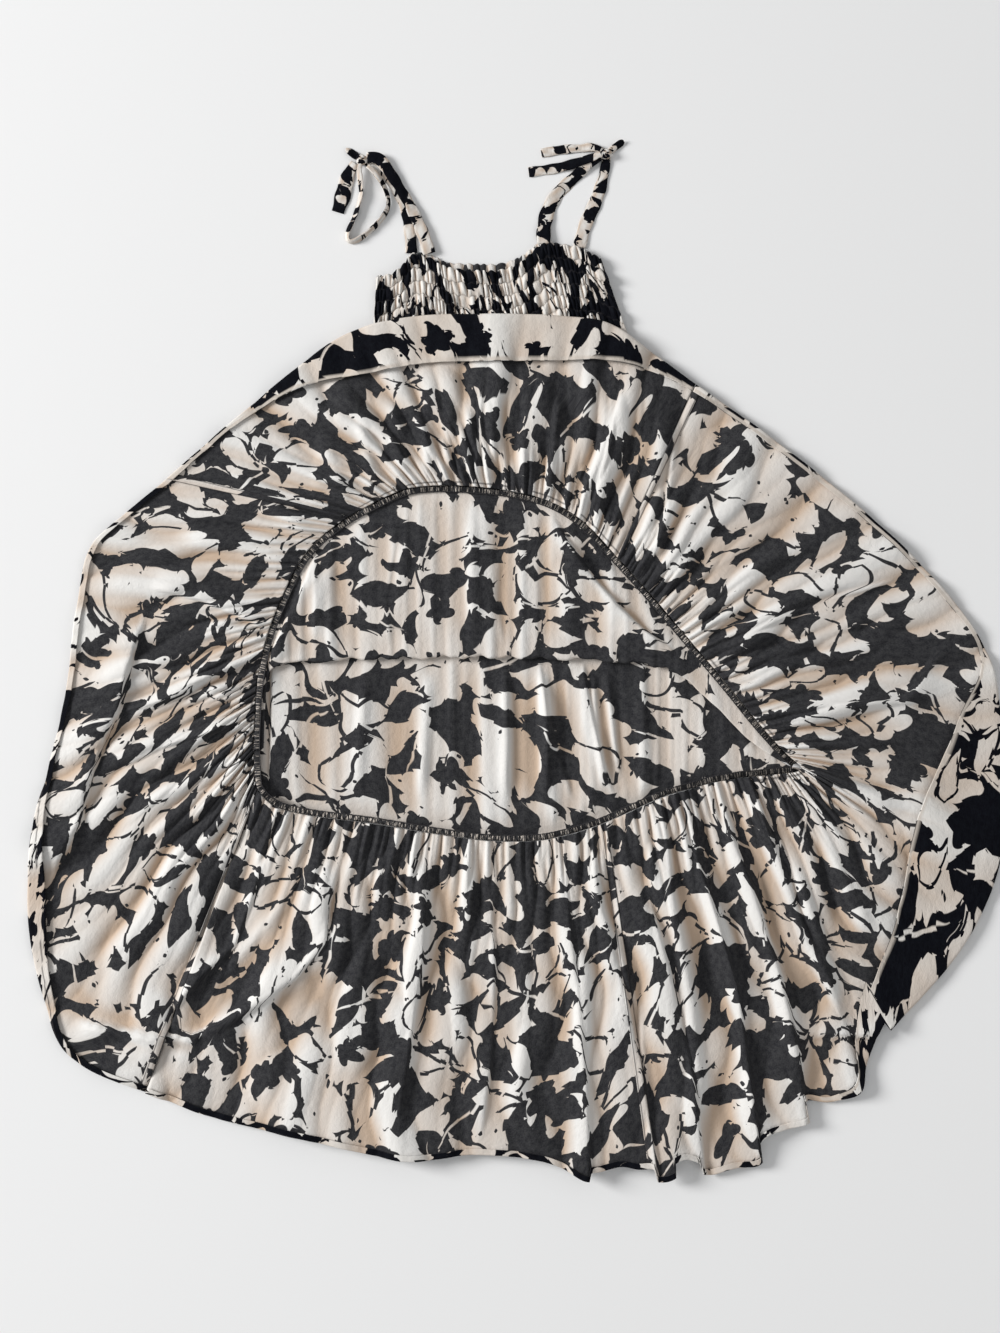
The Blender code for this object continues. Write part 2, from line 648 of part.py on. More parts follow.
def front_upper_skirt(lengths, material):
    """The turned-up front: from the gathered seam down to the fold, and a short way back under."""
    ray_at = seam_places(FRONT_COLUMNS[0].ray, FRONT_COLUMNS[-1].ray, lengths)
    pairs = []
    for line in INNER_LINES + FOLD_LINES:
        at = ray_at[:: line.step]
        angle = math.radians(line.roll)

        def roll_of(reach):
            grown = ease((reach - ROLL_GROWS_FROM) / ROLL_GROWS_OVER)
            return SIDE_FOLD_ROLL + (FRONT_FOLD_ROLL - SIDE_FOLD_ROLL) * grown

        def beyond(reach):
            inside = -(roll_of(reach) + WALL / 2) * line.out
            back = np.minimum(FOLD_RETURN, FOLD_RETURN_SHARE * reach) * line.back
            return inside + roll_of(reach) * math.sin(angle) - back

        x, y, way_x, way_y, reach = inner_line(FRONT_COLUMNS, at, line.out, beyond)
        ground = np.maximum(along(RAYS, at, True)[:, 5], cover_height(x, y))
        rise = ease((line.out * reach - CREASE_START) / CREASE_RISE)
        rise = rise * (1 - ease((line.out - FRONT_CREASE_END) / CREASE_FADE))
        z = ground + WALL / 2 + crease_lift(FRONT_CREASES, at) * rise
        z = z - roll_of(reach) * (1 - math.cos(angle))
        upper, lower = wall_pair(x, y, z, way_x, way_y, math.pi - angle)
        pairs.append((lower, upper))
    outer, inner = zip(*pairs)
    return cloth_wall("upper_skirt_front", list(outer), list(inner), material)


def back_upper_skirt(lengths, material):
    """The back of the upper skirt, which rests on the surface with soft upright creases."""
    ray_at = seam_places(BACK_COLUMNS[0].ray, BACK_COLUMNS[-1].ray, lengths)
    pairs = []
    for line in INNER_LINES:
        at = ray_at[:: line.step]
        x, y, way_x, way_y, reach = inner_line(BACK_COLUMNS, at, line.out, np.zeros_like)
        rise = ease((line.out * reach - CREASE_START) / CREASE_RISE)
        rise = rise * (1 - ease((line.out - BACK_CREASE_END) / CREASE_FADE))
        z = WALL / 2 + crease_lift(BACK_CREASES, at) * rise
        pairs.append(wall_pair(x, y, z, way_x, way_y, 0.0))
    outer, inner = zip(*pairs)
    return cloth_wall("upper_skirt_back", list(outer), list(inner), material)


def hidden_outline(inset):
    """The hidden layers' rounded four-sided outline, drawn in by an inset."""
    points = []
    for side_x, side_y, first in ((1, 1, 0), (-1, 1, 90), (-1, -1, 180), (1, -1, 270)):
        top = side_y > 0
        half = HIDDEN_TOP_HALF if top else HIDDEN_BOTTOM_HALF
        middle = HIDDEN_TOP_MIDDLE if top else HIDDEN_BOTTOM_MIDDLE
        y = HIDDEN_TOP_Y if top else HIDDEN_BOTTOM_Y
        centre_x = middle + side_x * (half - HIDDEN_CORNER)
        centre_y = y - side_y * HIDDEN_CORNER
        for i in range(HIDDEN_CORNER_POINTS):
            turn = math.radians(first + 90 * i / (HIDDEN_CORNER_POINTS - 1))
            radius = HIDDEN_CORNER - inset
            points.append((centre_x + radius * math.cos(turn), centre_y + radius * math.sin(turn)))
    return points


def hidden_layers(material):
    """The folded layers that nothing shows, as one low form with a flat underside."""
    points, faces = [], []
    for step in HIDDEN_STEPS:
        points += [(x, y, step.z) for x, y in hidden_outline(step.inset)]
    count = 4 * HIDDEN_CORNER_POINTS
    for k in range(len(HIDDEN_STEPS) - 1):
        a, b = k * count, (k + 1) * count
        faces += quads(a, b, count)
        faces.append((a + count - 1, a, b, b + count - 1))
    faces.append(tuple(reversed(range(count))))
    faces.append(tuple(range((len(HIDDEN_STEPS) - 1) * count, len(HIDDEN_STEPS) * count)))
    thing = add_mesh("hidden_layers", points, faces, material)
    smooth_faces(thing)
    return thing


def bodice_rows(count, shares, height, rise):
    """A bodice panel from its hidden lower end to its upper edge, as rows of points."""
    places = np.linspace(0.0, len(BODICE_TOP) - 1.0, NECK_POINTS)
    edge = along(BODICE_TOP, places, False)
    run = np.concatenate([[0.0], np.cumsum(np.hypot(*np.diff(edge, axis=0).T))])
    at = np.interp(np.linspace(0, run[-1], count), run, places)
    top_x, top_y = along(BODICE_TOP, at, False).T
    share_x = np.linspace(0.0, 1.0, count)
    top_y = top_y + rise * np.sin(np.pi * share_x) ** 2
    low_x = BODICE_BOTTOM_LEFT + (BODICE_BOTTOM_RIGHT - BODICE_BOTTOM_LEFT) * share_x
    rows = []
    for share in shares:
        x = low_x + (top_x - low_x) * share
        y = BODICE_BOTTOM_Y + (top_y - BODICE_BOTTOM_Y) * share
        rows.append(np.stack([x, y, height(share_x, y)], axis=1))
    return rows


def bodice_front(material):
    """The smocked front: narrow upright pleats, pinched at each row of elastic."""

    def height(share_x, y):
        pleats = share_x * SMOCKING_PLEATS
        scattered = scatter(np.floor(pleats), 0)
        uneven = SMOCKING_EVENNESS + (1 - SMOCKING_EVENNESS) * scattered
        row = np.cos(2 * np.pi * y / SHIRRING_ROW_PITCH)
        pinch = 1 - SHIRRING_PINCH + SHIRRING_PINCH * row
        wave = (0.5 - 0.5 * np.cos(2 * np.pi * pleats)) * uneven * pinch
        return BODICE_FRONT_Z + WALL / 2 + SMOCKING_LIFT * wave

    count = SMOCKING_PLEATS * POINTS_A_GATHER + 1
    inner = bodice_rows(count, (0.0, 0.45, 0.8, 1.0), height, 0.0)
    outer = [row * (1, 1, 0) + (0, 0, BODICE_FRONT_Z - WALL / 2) for row in inner]
    return cloth_wall("bodice_front", outer, inner, material, plain=True)


def bodice_back(material):
    def height(share_x, y):
        wave = 0.5 - 0.5 * np.cos(2 * np.pi * share_x * BACK_PLEATS)
        return BODICE_BACK_Z + WALL / 2 + BACK_PLEAT_LIFT * wave

    inner = bodice_rows(BACK_PLEATS * POINTS_A_GATHER + 1, (0.0, 0.7, 1.0), height, BACK_NECK_RISE)
    outer = [row * (1, 1, 0) + (0, 0, BODICE_BACK_Z - WALL / 2) for row in inner]
    return cloth_wall("bodice_back", outer, inner, material, plain=True)


def closed_tube(name, rings, material):
    """A form through rings of as many points, closed at both ends."""
    sides, count = len(rings[0]), len(rings)
    faces = []
    for k in range(count - 1):
        a, b = k * sides, (k + 1) * sides
        faces += quads(a, b, sides)
        faces.append((a + sides - 1, a, b, b + sides - 1))
    faces.append(tuple(reversed(range(sides))))
    faces.append(tuple(range((count - 1) * sides, count * sides)))
    thing = add_mesh(name, np.concatenate(rings), faces, material)
    smooth_faces(thing)
    return thing


def seam_strip(strip, material):
    """The overlocked edges of the gathered seam, a narrow strip just inside it."""
    table = along(RAYS, np.linspace(strip.start, strip.end, strip.rings), True)
    seam_x, seam_y, seam_z = table[:, 0], table[:, 1], table[:, 5]
    ahead_x, ahead_y = np.gradient(seam_x), np.gradient(seam_y)
    size = np.hypot(ahead_x, ahead_y)
    in_x, in_y = ahead_y / size, -ahead_x / size
    sides = []
    for across, up in ((0, 0), (1, 0), (1, 1), (0, 1)):
        inwards = SEAM_STRIP_START + across * SEAM_STRIP_WIDTH
        reach = across * SEAM_STRIP_LOOK
        ground = np.maximum(seam_z, cover_height(seam_x + in_x * reach, seam_y + in_y * reach))
        z = ground + WALL + SEAM_STRIP_CLEARANCE + up * SEAM_STRIP_THICKNESS
        sides.append(np.stack([seam_x + in_x * inwards, seam_y + in_y * inwards, z], axis=1))
    return closed_tube(strip.name, list(np.stack(sides, axis=1)), material)


def outside_knot(path, knot):
    """The path's points that lie just clear of the knot."""
    off = path[:, :3] - np.array([knot.x, knot.y, knot.z])
    off[:, 2] -= np.clip(off[:, 2], -TIE_THICKNESS / 2, TIE_THICKNESS / 2)
    size = np.linalg.norm(off / (knot.half_x, knot.half_y, knot.half_z), axis=1)
    clear = (1 - 1 / size) * np.linalg.norm(off, axis=1)
    return path[clear > KNOT_CLEARANCE]


def tie_ribbon(name, stops, knot, material):
    """A flat tie through its stops, as a rounded four-sided ribbon with closed ends."""
    places = np.linspace(0.0, len(stops) - 1.0, TIE_FINE_POINTS * len(stops))
    fine = outside_knot(along(stops, places, False), knot)
    steps = np.hypot(*np.diff(fine[:, :2], axis=0).T)
    run = np.concatenate([[0.0], np.cumsum(steps)])
    count = max(TIE_LEAST_RINGS, int(run[-1] / TIE_STEP))
    at = np.linspace(0.0, run[-1], count)
    x, y, z, width, tilt = (np.interp(at, run, fine[:, k]) for k in range(5))
    ahead_x, ahead_y = np.gradient(x), np.gradient(y)
    size = np.hypot(ahead_x, ahead_y)
    side_x, side_y = -ahead_y / size, ahead_x / size
    lean = np.radians(tilt)
    half, thick = width / 2, TIE_THICKNESS / 2
    rows = []
    flat = TIE_FLAT_SHARE
    for across, up in ((-1, 0), (-flat, -1), (flat, -1), (1, 0), (flat, 1), (-flat, 1)):
        level = across * half * np.cos(lean) - up * thick * np.sin(lean)
        rise = across * half * np.sin(lean) + up * thick * np.cos(lean)
        rows.append(np.stack([x + side_x * level, y + side_y * level, z + rise], axis=1))
    rings = np.stack(rows, axis=1)
    rings[:, :, 2] = np.maximum(rings[:, :, 2], 0.0)
    return closed_tube(name, list(rings), material)


def knot_form(name, knot, material):
    """A soft knot: a rounded ball of cloth with three wraps."""
    rings = []
    turn = np.linspace(0, 2 * np.pi, KNOT_SIDES, endpoint=False)
    for j in range(KNOT_RINGS):
        lat = math.pi * ((j + 0.5) / KNOT_RINGS - 0.5)
        round_way = math.cos(lat) / math.cos(math.pi / KNOT_SIDES)
        round_way = round_way * (1 - KNOT_WRAP * (0.5 + 0.5 * np.cos(3 * turn + 2 * lat)))
        x = knot.x + knot.half_x * round_way * np.cos(turn)
        y = knot.y + knot.half_y * round_way * np.sin(turn)
        z = np.full(KNOT_SIDES, knot.z + knot.half_z * math.sin(lat))
        rings.append(np.stack([x, y, z], axis=1))
    return closed_tube(name, rings, material)


def main():
    clear_scene()
    wrong_side = cloth_material("print_wrong_side", WRONG_SIDE_COLOUR, WRONG_SIDE_ROUGHNESS)
    right_side = cloth_material("print_right_side", RIGHT_SIDE_COLOUR, RIGHT_SIDE_ROUGHNESS)
    overlock = cloth_material("overlock_thread", OVERLOCK_COLOUR, OVERLOCK_ROUGHNESS)
    lengths = ray_lengths()
    for panel in PANELS:
        flounce_panel(panel, lengths, wrong_side)
    front_upper_skirt(lengths, wrong_side)
    back_upper_skirt(lengths, wrong_side)
    hidden_layers(wrong_side)
    bodice_front(right_side)
    bodice_back(wrong_side)
    for strip in STRIPS:
        seam_strip(strip, overlock)
    for name, stops in TIES.items():
        knot = next(k for k in KNOTS.values() if f"_{k.ties}_" in name)
        tie_ribbon(name, stops, knot, right_side)
    for name, knot in KNOTS.items():
        knot_form(name, knot, right_side)


main()
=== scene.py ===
# %% [markdown]
# # A strap-tie midi dress, laid out with its front skirt turned up
# The dress lies on its back on a pale surface and is seen from straight above. Its front skirt is
# turned up over the bodice, so most of what shows is the inside of the cloth. This notebook
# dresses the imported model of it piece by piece: flounce, upper skirt, seams, bodice, ties, then
# light.
#
# Tables are in centimetres, meshes in metres. +X is to the wearer's left and +Y runs from hem to
# neck.

import math
from collections import namedtuple
from functools import partialmethod

import bpy
import numpy as np
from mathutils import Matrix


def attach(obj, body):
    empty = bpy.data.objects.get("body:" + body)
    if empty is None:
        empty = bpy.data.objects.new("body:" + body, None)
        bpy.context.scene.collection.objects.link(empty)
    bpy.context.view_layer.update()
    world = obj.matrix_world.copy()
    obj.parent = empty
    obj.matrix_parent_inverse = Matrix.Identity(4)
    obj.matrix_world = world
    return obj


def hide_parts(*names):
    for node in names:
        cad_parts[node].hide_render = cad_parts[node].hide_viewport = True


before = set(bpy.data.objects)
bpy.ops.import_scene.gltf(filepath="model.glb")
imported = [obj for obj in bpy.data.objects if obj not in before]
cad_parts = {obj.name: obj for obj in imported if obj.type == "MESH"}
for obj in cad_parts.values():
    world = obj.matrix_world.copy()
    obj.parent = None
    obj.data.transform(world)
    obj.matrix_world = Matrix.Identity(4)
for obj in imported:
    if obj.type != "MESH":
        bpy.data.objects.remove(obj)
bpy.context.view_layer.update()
CM = 0.01
print("solids in the packed model:", len(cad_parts))

# %% Helpers: a new object, and the one to work on
def added(name, data):
    """A new object of this data, in the scene."""
    thing = bpy.data.objects.new(name, data)
    bpy.context.scene.collection.objects.link(thing)
    return thing


def pick(thing):
    """Makes this the one selected and active object, which is what Blender's operators work on."""
    bpy.ops.object.select_all(action="DESELECT")
    bpy.context.view_layer.objects.active = thing
    thing.select_set(True)

# %% [markdown]
# ## Camera
# The photograph looks straight down, a little to the side of the dress's middle. A camera with no
# turn at all looks down -Z with +Y up in the picture, which is that view. Its lens follows from
# the height above the surface and the stretch of surface that the picture takes in from top to
# bottom.

# %% Camera straight above
VIEW_HEIGHT = 2.6
VIEW_TALL = 1.5996
VIEW_CENTRE = (-0.0204, -0.0108)
FILM = 36.0
camera_data = bpy.data.cameras.new("camera")
camera_data.sensor_fit = "VERTICAL"
camera_data.sensor_height = FILM
camera_data.lens = FILM * VIEW_HEIGHT / VIEW_TALL
camera = added("camera", camera_data)
camera.location = (*VIEW_CENTRE, VIEW_HEIGHT)
bpy.context.scene.camera = camera
print("lens in mm:", round(camera_data.lens, 1))

# %% [markdown]
# ## Floor and light
# A pale floor and a large soft lamp from the upper left give the soft shading of the folds. A weak
# even light from all round fills the shadows. The plain display transform keeps the cloth's
# creams.

# %% Floor
FLOOR_SIZE = 8.0
FLOOR_COLOUR = (0.82, 0.82, 0.82, 1.0)
FLOOR_ROUGHNESS = 0.85
bpy.ops.mesh.primitive_plane_add(size=FLOOR_SIZE, location=(0, 0, 0))
floor = bpy.context.object
floor.name = "floor"
bpy.context.scene.view_settings.view_transform = "Standard"
paint = bpy.data.materials.new("pale_floor")
paint.use_nodes = True
shader = paint.node_tree.nodes["Principled BSDF"]
shader.inputs["Base Color"].default_value = FLOOR_COLOUR
shader.inputs["Roughness"].default_value = FLOOR_ROUGHNESS
floor.data.materials.append(paint)
print("floor laid at z = 0")

# %% Even light and two lamps
EVEN_LIGHT = 0.42
EVEN_COLOUR = (0.97, 0.985, 1.0, 1.0)
world = bpy.context.scene.world or bpy.data.worlds.new("studio")
bpy.context.scene.world = world
world.use_nodes = True
world.node_tree.nodes["Background"].inputs["Color"].default_value = EVEN_COLOUR
world.node_tree.nodes["Background"].inputs["Strength"].default_value = EVEN_LIGHT
Lamp = namedtuple("Lamp", "name place size watts colour")
LAMPS = (
    Lamp("key", (-7.2, 1.8, 3.9), 3.1, 805.0, (1.0, 0.995, 0.988)),
    Lamp("fill", (1.9, -1.4, 2.6), 2.0, 9.0, (1.0, 0.98, 0.95)),
)
for lamp in LAMPS:
    data = bpy.data.lights.new(lamp.name, "AREA")
    data.shape, data.size, data.energy, data.color = "DISK", lamp.size, lamp.watts, lamp.colour
    light = added(lamp.name, data)
    light.location = lamp.place
    aim = np.array(VIEW_CENTRE + (0.0,)) - lamp.place
    tip = math.atan2(math.hypot(aim[0], aim[1]), -aim[2])
    light.rotation_euler = (tip, 0.0, math.atan2(aim[1], aim[0]) - math.pi / 2)
    print(lamp.name, "lamp at", lamp.place)

# %% [markdown]
# ## Shader maths
# A pattern on cloth is arithmetic on where a point lies. Value wraps a socket, so that ordinary
# expressions such as 1 - mask add the Math nodes, and Board.node adds any other node.

# %% A value that varies over the cloth
class Value:
    def __init__(self, board, socket):
        self.board, self.socket = board, socket

    def math(self, operation, *others, flipped=False):
        terms = (others[0], self) if flipped else (self, *others)
        node = self.board.node("ShaderNodeMath", {"operation": operation}, dict(enumerate(terms)))
        return Value(self.board, node.outputs[0])

    __add__ = __radd__ = partialmethod(math, "ADD")
    __mul__ = __rmul__ = partialmethod(math, "MULTIPLY")
    __sub__ = partialmethod(math, "SUBTRACT")
    __rsub__ = partialmethod(math, "SUBTRACT", flipped=True)
    __truediv__ = partialmethod(math, "DIVIDE")
    __abs__ = partialmethod(math, "ABSOLUTE")

    def clipped(self):
        """The value kept from 0 to 1."""
        return self.math("MINIMUM", 1.0).math("MAXIMUM", 0.0)

# %% The node board of a material
class Board:
    def __init__(self, name):
        self.material = bpy.data.materials.new(name)
        self.material.use_nodes = True
        self.tree = self.material.node_tree
        self.shader = self.tree.nodes["Principled BSDF"]

    def node(self, kind, settings=None, sockets=None):
        made = self.tree.nodes.new(kind)
        for key, value in (settings or {}).items():
            setattr(made, key, value)
        for key, value in (sockets or {}).items():
            if isinstance(value, Value):
                self.tree.links.new(value.socket, made.inputs[key])
            else:
                made.inputs[key].default_value = value
        return made

    def value(self, node, name=0):
        return Value(self, node.outputs[name])

    def vector(self, operation, *terms, **named):
        sockets = {**dict(enumerate(terms)), **named}
        return self.value(self.node("ShaderNodeVectorMath", {"operation": operation}, sockets))

    def noise(self, place, scale, detail, dimensions="2D", output=0):
        sockets = {"Vector": place, "Scale": scale, "Detail": detail}
        node = self.node("ShaderNodeTexNoise", {"noise_dimensions": dimensions}, sockets)
        return self.value(node, output)

    def parts(self, vector):
        node = self.node("ShaderNodeSeparateXYZ", None, {0: vector})
        return self.value(node, 0), self.value(node, 1)

    def mix(self, share, first, second):
        first, second = ((*c, 1.0) if isinstance(c, tuple) else c for c in (first, second))
        sockets = {"Factor": share, 6: first, 7: second}
        return self.value(self.node("ShaderNodeMix", {"data_type": "RGBA"}, sockets), 2)

    def feed(self, socket, value):
        if isinstance(value, Value):
            self.tree.links.new(value.socket, self.shader.inputs[socket])
        else:
            self.shader.inputs[socket].default_value = value

# %% [markdown]
# ## The print
# The cloth is printed with leaves, petals and small flowers that look cut from paper, cream on a
# dark ground, packed so that the ground also reads as leaves. Each kind of motif is scattered by a
# Voronoi texture: the nearest cell's middle gives a motif its place and the cell's colour its
# turn. An outline is then a formula in the motif's own two directions. Cream motifs merge with the
# cream below, dark ones cut into it, and parted ones lie on it inside a thin dark line. The
# pattern reads the cloth's own UV map, in metres of cut cloth, so gathers squeeze it.

# %% Motifs scattered over the cloth
SOFT_EDGE = 0.012
SEED_SHIFT = (0.137, 0.071, 0.0)
UNEVEN_PLACES = 0.9
LEAN = 0.22
FAR_OUTSIDE = 10.0


def motif_places(board, place, size, seed, turned):
    """Our place in the nearest motif's own two directions, in its sizes, and a random number."""
    moved = board.vector("ADD", place, tuple(seed * shift for shift in SEED_SHIFT))
    scaled = board.vector("SCALE", moved, Scale=1.0 / size)
    cell = board.node(
        "ShaderNodeTexVoronoi",
        {"voronoi_dimensions": "2D", "feature": "F1"},
        {"Vector": scaled, "Scale": 1.0, "Randomness": UNEVEN_PLACES},
    )
    x, y = board.parts(board.vector("SUBTRACT", scaled, board.value(cell, "Position")))
    random = board.node("ShaderNodeSeparateColor", None, {0: board.value(cell, "Color")})
    turn = board.value(random, 0) * (2 * math.pi) + turned
    across, up = turn.math("COSINE"), turn.math("SINE")
    return x * across + y * up, y * across - x * up, board.value(random, 1)


def some_of(edge, chance, share):
    """Leaves out all motifs but a share of them."""
    return edge - chance.math("GREATER_THAN", share) * FAR_OUTSIDE


def leaf(board, place, size, seed, long, wide, share, skew=0.35):
    """Pointed leaves, one in each cell, fuller towards one end: above 0 inside their outline."""
    x, y, chance = motif_places(board, place, size, seed, 0.0)
    t = x / long
    body = (1.0 - t * t) * (1.0 + skew * t) * wide
    return some_of(body - abs(y), chance, share)


def lobed(board, place, size, seed, radius, lobes, depth, sharp, share):
    """Leaves and blooms with lobes round a middle, pointed where sharp is high."""
    x, y, chance = motif_places(board, place, size, seed, 1.0)
    away = (x * x + y * y).math("SQRT")
    angle = y.math("ARCTAN2", x)
    point = abs((angle * (lobes / 2.0)).math("COSINE")).math("POWER", sharp)
    lean = 1.0 + (x / (away + 0.001)) * LEAN
    return some_of((point * depth + (1.0 - depth)) * lean * radius - away, chance, share)


def filled(edge, spread=0.0):
    """1 inside an outline and 0 outside it. With a spread it reaches beyond the outline."""
    return ((edge + spread) / SOFT_EDGE + 0.5).clipped()

# %% The print as one mask
PRINT_SCALE = 0.80
BEND_SCALE, BEND_BY = 19.0, 0.022
CHIP_SCALE, CHIP_BY = 62.0, 0.0042
HALO = 0.085
Motif = namedtuple("Motif", "kind outline size seed shape")
MOTIFS = (
    Motif("cream", lobed, 0.056, 1, (0.52, 5, 0.50, 0.7, 0.80)),
    Motif("cream", leaf, 0.046, 2, (0.62, 0.29, 0.72)),
    Motif("cream", lobed, 0.064, 3, (0.48, 7, 0.42, 1.3, 0.50)),
    Motif("dark", leaf, 0.052, 6, (0.60, 0.20, 0.78)),
    Motif("dark", lobed, 0.047, 9, (0.34, 5, 0.40, 1.2, 0.42)),
    Motif("parted", leaf, 0.042, 4, (0.64, 0.24, 0.34, 0.7)),
    Motif("dark", leaf, 0.045, 7, (0.60, 0.035, 0.10, 0.0)),
    Motif("dark", leaf, 0.022, 8, (0.11, 0.08, 0.28, 0.0)),
    Motif("cream", leaf, 0.070, 5, (0.62, 0.022, 0.50, 0.0)),
)


def print_mask(board, place):
    """1 where the print is cream and 0 where it is the dark ground."""
    chip = {"Vector": place, "Scale": CHIP_SCALE, "Randomness": 1.0}
    chip = board.node("ShaderNodeTexVoronoi", {"voronoi_dimensions": "2D"}, chip)
    bend = board.noise(place, BEND_SCALE, 1.0, output="Color")
    place = board.vector("SCALE", place, Scale=PRINT_SCALE)
    for way, size in ((bend, BEND_BY), (board.value(chip, "Color"), CHIP_BY)):
        way = board.vector("SUBTRACT", way, (0.5, 0.5, 0.5))
        place = board.vector("ADD", place, board.vector("SCALE", way, Scale=size))
    cream = 0.0
    for motif in MOTIFS:
        edge = motif.outline(board, place, motif.size, motif.seed, *motif.shape)
        if motif.kind != "cream":
            cream = cream * (1.0 - filled(edge, HALO if motif.kind == "parted" else 0.0))
        if motif.kind != "dark":
            cream = filled(edge).math("MAXIMUM", cream)
    return cream


print("kinds of motif:", len(MOTIFS))

# %% [markdown]
# ## Cloth finishes
# The dress is a matte crinkle crepe. Printed from one side, its right side is a near-black navy
# with clear cream, and its wrong side is the same print faded to slate and a warmer cream. Fine
# pebbles are a small bump. An attribute, 1 on the folds' crowns and 0 in their hollows, mixes in
# painted shade: cream is painted towards tan in the hollows, for the warm light that passes through
# the thin cloth there. The attribute stitch is above 0 on dark thread and below 0 on a pale line
# painted along a rolled hem's edge as its highlight.

# %% Cloth material
# the fourth colour of a finish is painted shade: the tan that cream is painted towards in fold
# hollows
Finish = namedtuple("Finish", "ground ground_thread cream hollow roughness")
WRONG_SIDE = Finish(
    (0.019, 0.019, 0.022), (0.047, 0.047, 0.049), (0.728, 0.712, 0.688), (0.51, 0.39, 0.295), 0.88
)
RIGHT_SIDE = Finish(
    (0.001, 0.001, 0.003), (0.004, 0.005, 0.008), (0.718, 0.696, 0.662), (0.50, 0.385, 0.295), 0.80
)
DARK_STITCH = (0.035, 0.032, 0.034)
# colour of the painted highlight along a rolled hem's edge
HEM_HIGHLIGHT = (0.58, 0.52, 0.46)
PEBBLE_SCALE, CRINKLE_SCALE = 640.0, 150.0
PEBBLE_STRENGTH, PEBBLE_HEIGHT = 0.55, 0.0011


def pebbles(board, place):
    """The crepe's pebbled surface, as a bump."""
    grain, crinkle = (board.noise(place, scale, 2.0) for scale in (PEBBLE_SCALE, CRINKLE_SCALE))
    height = grain * 0.5 + crinkle
    sockets = {"Strength": PEBBLE_STRENGTH, "Distance": PEBBLE_HEIGHT, "Height": height}
    board.feed("Normal", board.value(board.node("ShaderNodeBump", None, sockets)))
    return (grain + crinkle - 1.0) * 1.5 + 0.5


def cloth_finish(name, finish, from_uv=True):
    """The printed crepe. Without a UV map it reads the print from the place in space."""
    board = Board(name)
    if from_uv:
        place = board.value(board.node("ShaderNodeUVMap", {"uv_map": "cloth"}))
        unshaded, stitch = (
            board.value(board.node("ShaderNodeAttribute", {"attribute_name": label}), "Fac")
            for label in ("unshaded", "stitch")
        )
    else:
        place, unshaded = board.value(board.node("ShaderNodeTexCoord"), "Object"), 1.0
    ground = board.mix(pebbles(board, place), finish.ground, finish.ground_thread)
    # painted shade: cream is mixed towards tan where a point lies low in a fold
    cream = board.mix(unshaded, finish.hollow, finish.cream)
    cloth = board.mix(print_mask(board, place), ground, cream)
    if from_uv:
        # dark thread where stitch is above 0, and a painted highlight along a rolled hem's edge
        # where it is below 0
        for sign, colour in ((1.0, DARK_STITCH), (-1.0, HEM_HIGHLIGHT)):
            cloth = board.mix((stitch * sign).math("MAXIMUM", 0.0), cloth, colour)
    board.feed("Base Color", cloth)
    board.feed("Roughness", finish.roughness)
    board.feed("Specular IOR Level", 0.07)
    board.feed("Sheen Weight", 0.02)
    return board.material


wrong_side = cloth_finish("crepe_wrong_side", WRONG_SIDE)
right_side = cloth_finish("crepe_right_side", RIGHT_SIDE)
print("cloth finishes:", wrong_side.name, right_side.name)

# %% [markdown]
# ## Where the cloth lies
# The flounce spreads round its gathered seam like a ring. Each row of this table is one place on
# the seam and the place on the outline that the cloth reaches from there, clockwise from the lower
# left. seam_z and edge_z are heights of the cloth there, and turn is how far the edge is turned
# back. Most of the edge lies on the surface with a plain narrow hem, so those two are left out
# where they can be.

